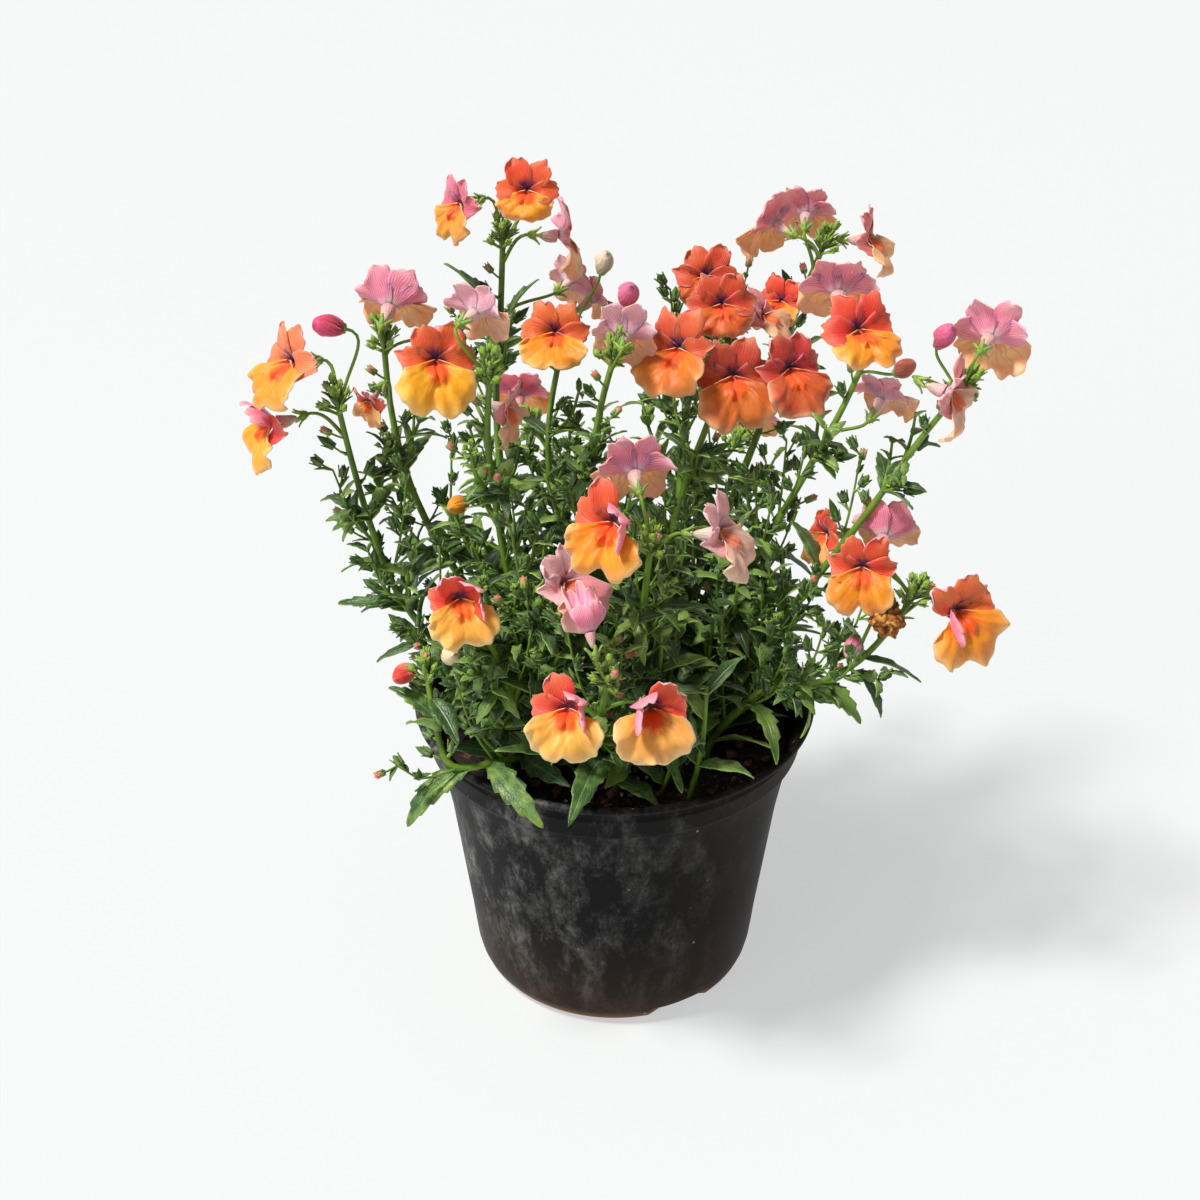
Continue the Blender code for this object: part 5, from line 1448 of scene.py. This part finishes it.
petals = fresh_mesh()
for stem, limb, place_seen, facing, length, inner, outer in YOUNG_BLOOMS:
    way = heading(*facing)
    turned = frame_of(way)
    base = seen(*place_seen) - way * (length / 2)
    choices = [along(paths[stem][limb], 0.35 + 0.6 * i / 24) for i in range(25)]
    rises = [max(0, start.z - base.z + 3) for start, tangent in choices]
    costs = [abs((choice[0] - base).length - YOUNG_STALK) + rise for choice, rise in zip(choices, rises)]
    start, tangent = choices[costs.index(min(costs))]
    pull = 0.45 * (base - start).length
    stalk = capped(interpolate_bezier(start, start + tangent * pull, base - way * pull, base, 12))
    stem_along(YOUNG, stalk, [STALK_RADIUS * 0.9] * len(stalk), 6, STALK_TONE)

    def wrapped(u, v):
        fat = 0.33 * length * (0.36 + 0.64 * math.sin(math.pi * min(1, 0.12 + 0.86 * v) ** 1.15))
        fat *= 1 + 0.26 * ((3 * u) % 1 - 0.5) * math.sin(math.pi * min(1, v + 0.2))
        return base + turned @ around(fat * (0.001 < v < 0.999), math.tau * u + 1.1 * v, length * v)

    def shade(u, v):
        side = blend(inner, outer, 1.3 * v)
        return to_linear(outer), blend(side, outer, 1.2 * ((3 * u) % 1) - 0.5)

    sheet(petals, 30, 12, wrapped, BACK, 0.5, shade)
    sepals(YOUNG, base - way * 0.3, turned, 1.25, 0.35, 0.85)
finish_piece("young_bloom_stalks", limb_meshes[YOUNG], [stem_green])
finish_piece("young_bloom_cups", leaf_meshes[YOUNG], leaf_sides, [], LEAF_THICK)
finish_piece("young_bloom_petals", petals, petal_sides, [], PETAL_THICK)

# The withered bloom
# One spent bloom at the right has dried to a brown and golden knot on its tube.

DRIED = ("#3a1c10", "#9a5a1e", "#d9a54a")
KNOT_HALF = 4.4
KNOT_HIGH = 4.2
KNOT_SUNK = 1.0
throat, turned, phase = settled["withered"]
knot = bmesh.new()
bmesh.ops.create_uvsphere(knot, u_segments=36, v_segments=24, radius=1)
for vertex in knot.verts:
    way = vertex.co.copy()
    crease = noise.fractal(way * 2.1, 1.0, 2.0, 4) + 0.5 * abs(noise.noise(way * 4.3))
    ball = Vector((KNOT_HALF * way.x, KNOT_HALF * way.y, KNOT_HIGH * way.z - KNOT_SUNK))
    vertex.co = throat + turned @ ball * (1 + 0.4 * crease)
dry, shader, add = new_material("nemesia_petal_dried", {"IOR": 1.4, "Roughness": 0.75})
# Dried petal: papery, golden on its ridges and dark brown in its creases.
place = add("TexCoord").outputs["Object"]
folds = add("TexNoise", {"Vector": place, "Scale": 420, "Detail": 5, "Distortion": 1.2})
tone = add("ValToRGB", [folds], zip((0.36, 0.52, 0.7), DRIED))
coat(shader, tone, folds, 0.8, 0.0008)
finish_piece("bloom_withered_knot", knot, [dry], ["bloom_withered"])

# The camera, the light and the floor
# The camera stands where the photograph was taken. The sun comes from the upper left, as in the
# photograph, softened to a studio lamp, and the floor is plain and pale.

FLOOR_REACH = 6000
FLOOR_GLOW = 0.57
SKY_LIGHT = 0.22
SUN_ANGLE = math.radians(11)
# Each lamp: its kind, place, the point it shines towards, power, colour, and its angle or width.
LAMPS = {
    "sun_lamp": ("SUN", (0, 0, 0), (0.5, 0.18, -1.0), 4.4, "#fffaf4", SUN_ANGLE),
    "fill_lamp": ("AREA", (-0.9, -1.1, 0.7), (0, 0, 0.14), 5.5, "#faf9fa", 0.9),
}

camera_data = bpy.data.cameras.new("camera")
camera_data.sensor_width = 36.0
camera_data.lens = camera_data.sensor_width * VIEW_FOCAL / (2 * VIEW_CENTRE)
camera = placed("camera", camera_data)
camera.location = VIEW_PLACE * MM
camera.rotation_euler = (math.pi / 2 - VIEW_PITCH, 0, 0)
bpy.context.scene.camera = camera
bpy.context.scene.view_settings.view_transform = "Standard"

plane = bmesh.new()
bmesh.ops.create_grid(plane, x_segments=1, y_segments=1, size=FLOOR_REACH)
floor = solid_of("floor", plane)
paper, shader, add = new_material("studio_paper_white", {"Roughness": 0.9, "Base Color": "#8d9192"})
# Pale matt paper that glows a little, as paper does under even studio light.
fill(shader, {"Emission Color": "#f4f6f6", "Emission Strength": FLOOR_GLOW})
floor.data.materials.append(paper)

for name, (kind, place, aim, power, code, size) in LAMPS.items():
    data = bpy.data.lights.new(name, kind)
    setattr(data, "angle" if kind == "SUN" else "size", size)
    data.energy = power
    data.color = to_linear(code)[:3]
    lamp = placed(name, data)
    lamp.location = place
    lamp.rotation_euler = (Vector(aim) - Vector(place)).to_track_quat("-Z", "Y").to_euler()
world = bpy.data.worlds.new("studio")
bpy.context.scene.world = world
world.use_nodes = True
# What the camera sees beyond the floor is as pale as the floor; the light it gives is soft.
path_kind = add_node(world.node_tree, "LightPath").outputs["Is Camera Ray"]
power = add_node(world.node_tree, "MapRange", [path_kind, 0.0, 1.0, SKY_LIGHT, 1.0])
fill(world.node_tree.nodes["Background"], {"Color": "#f6f9fa", "Strength": power})
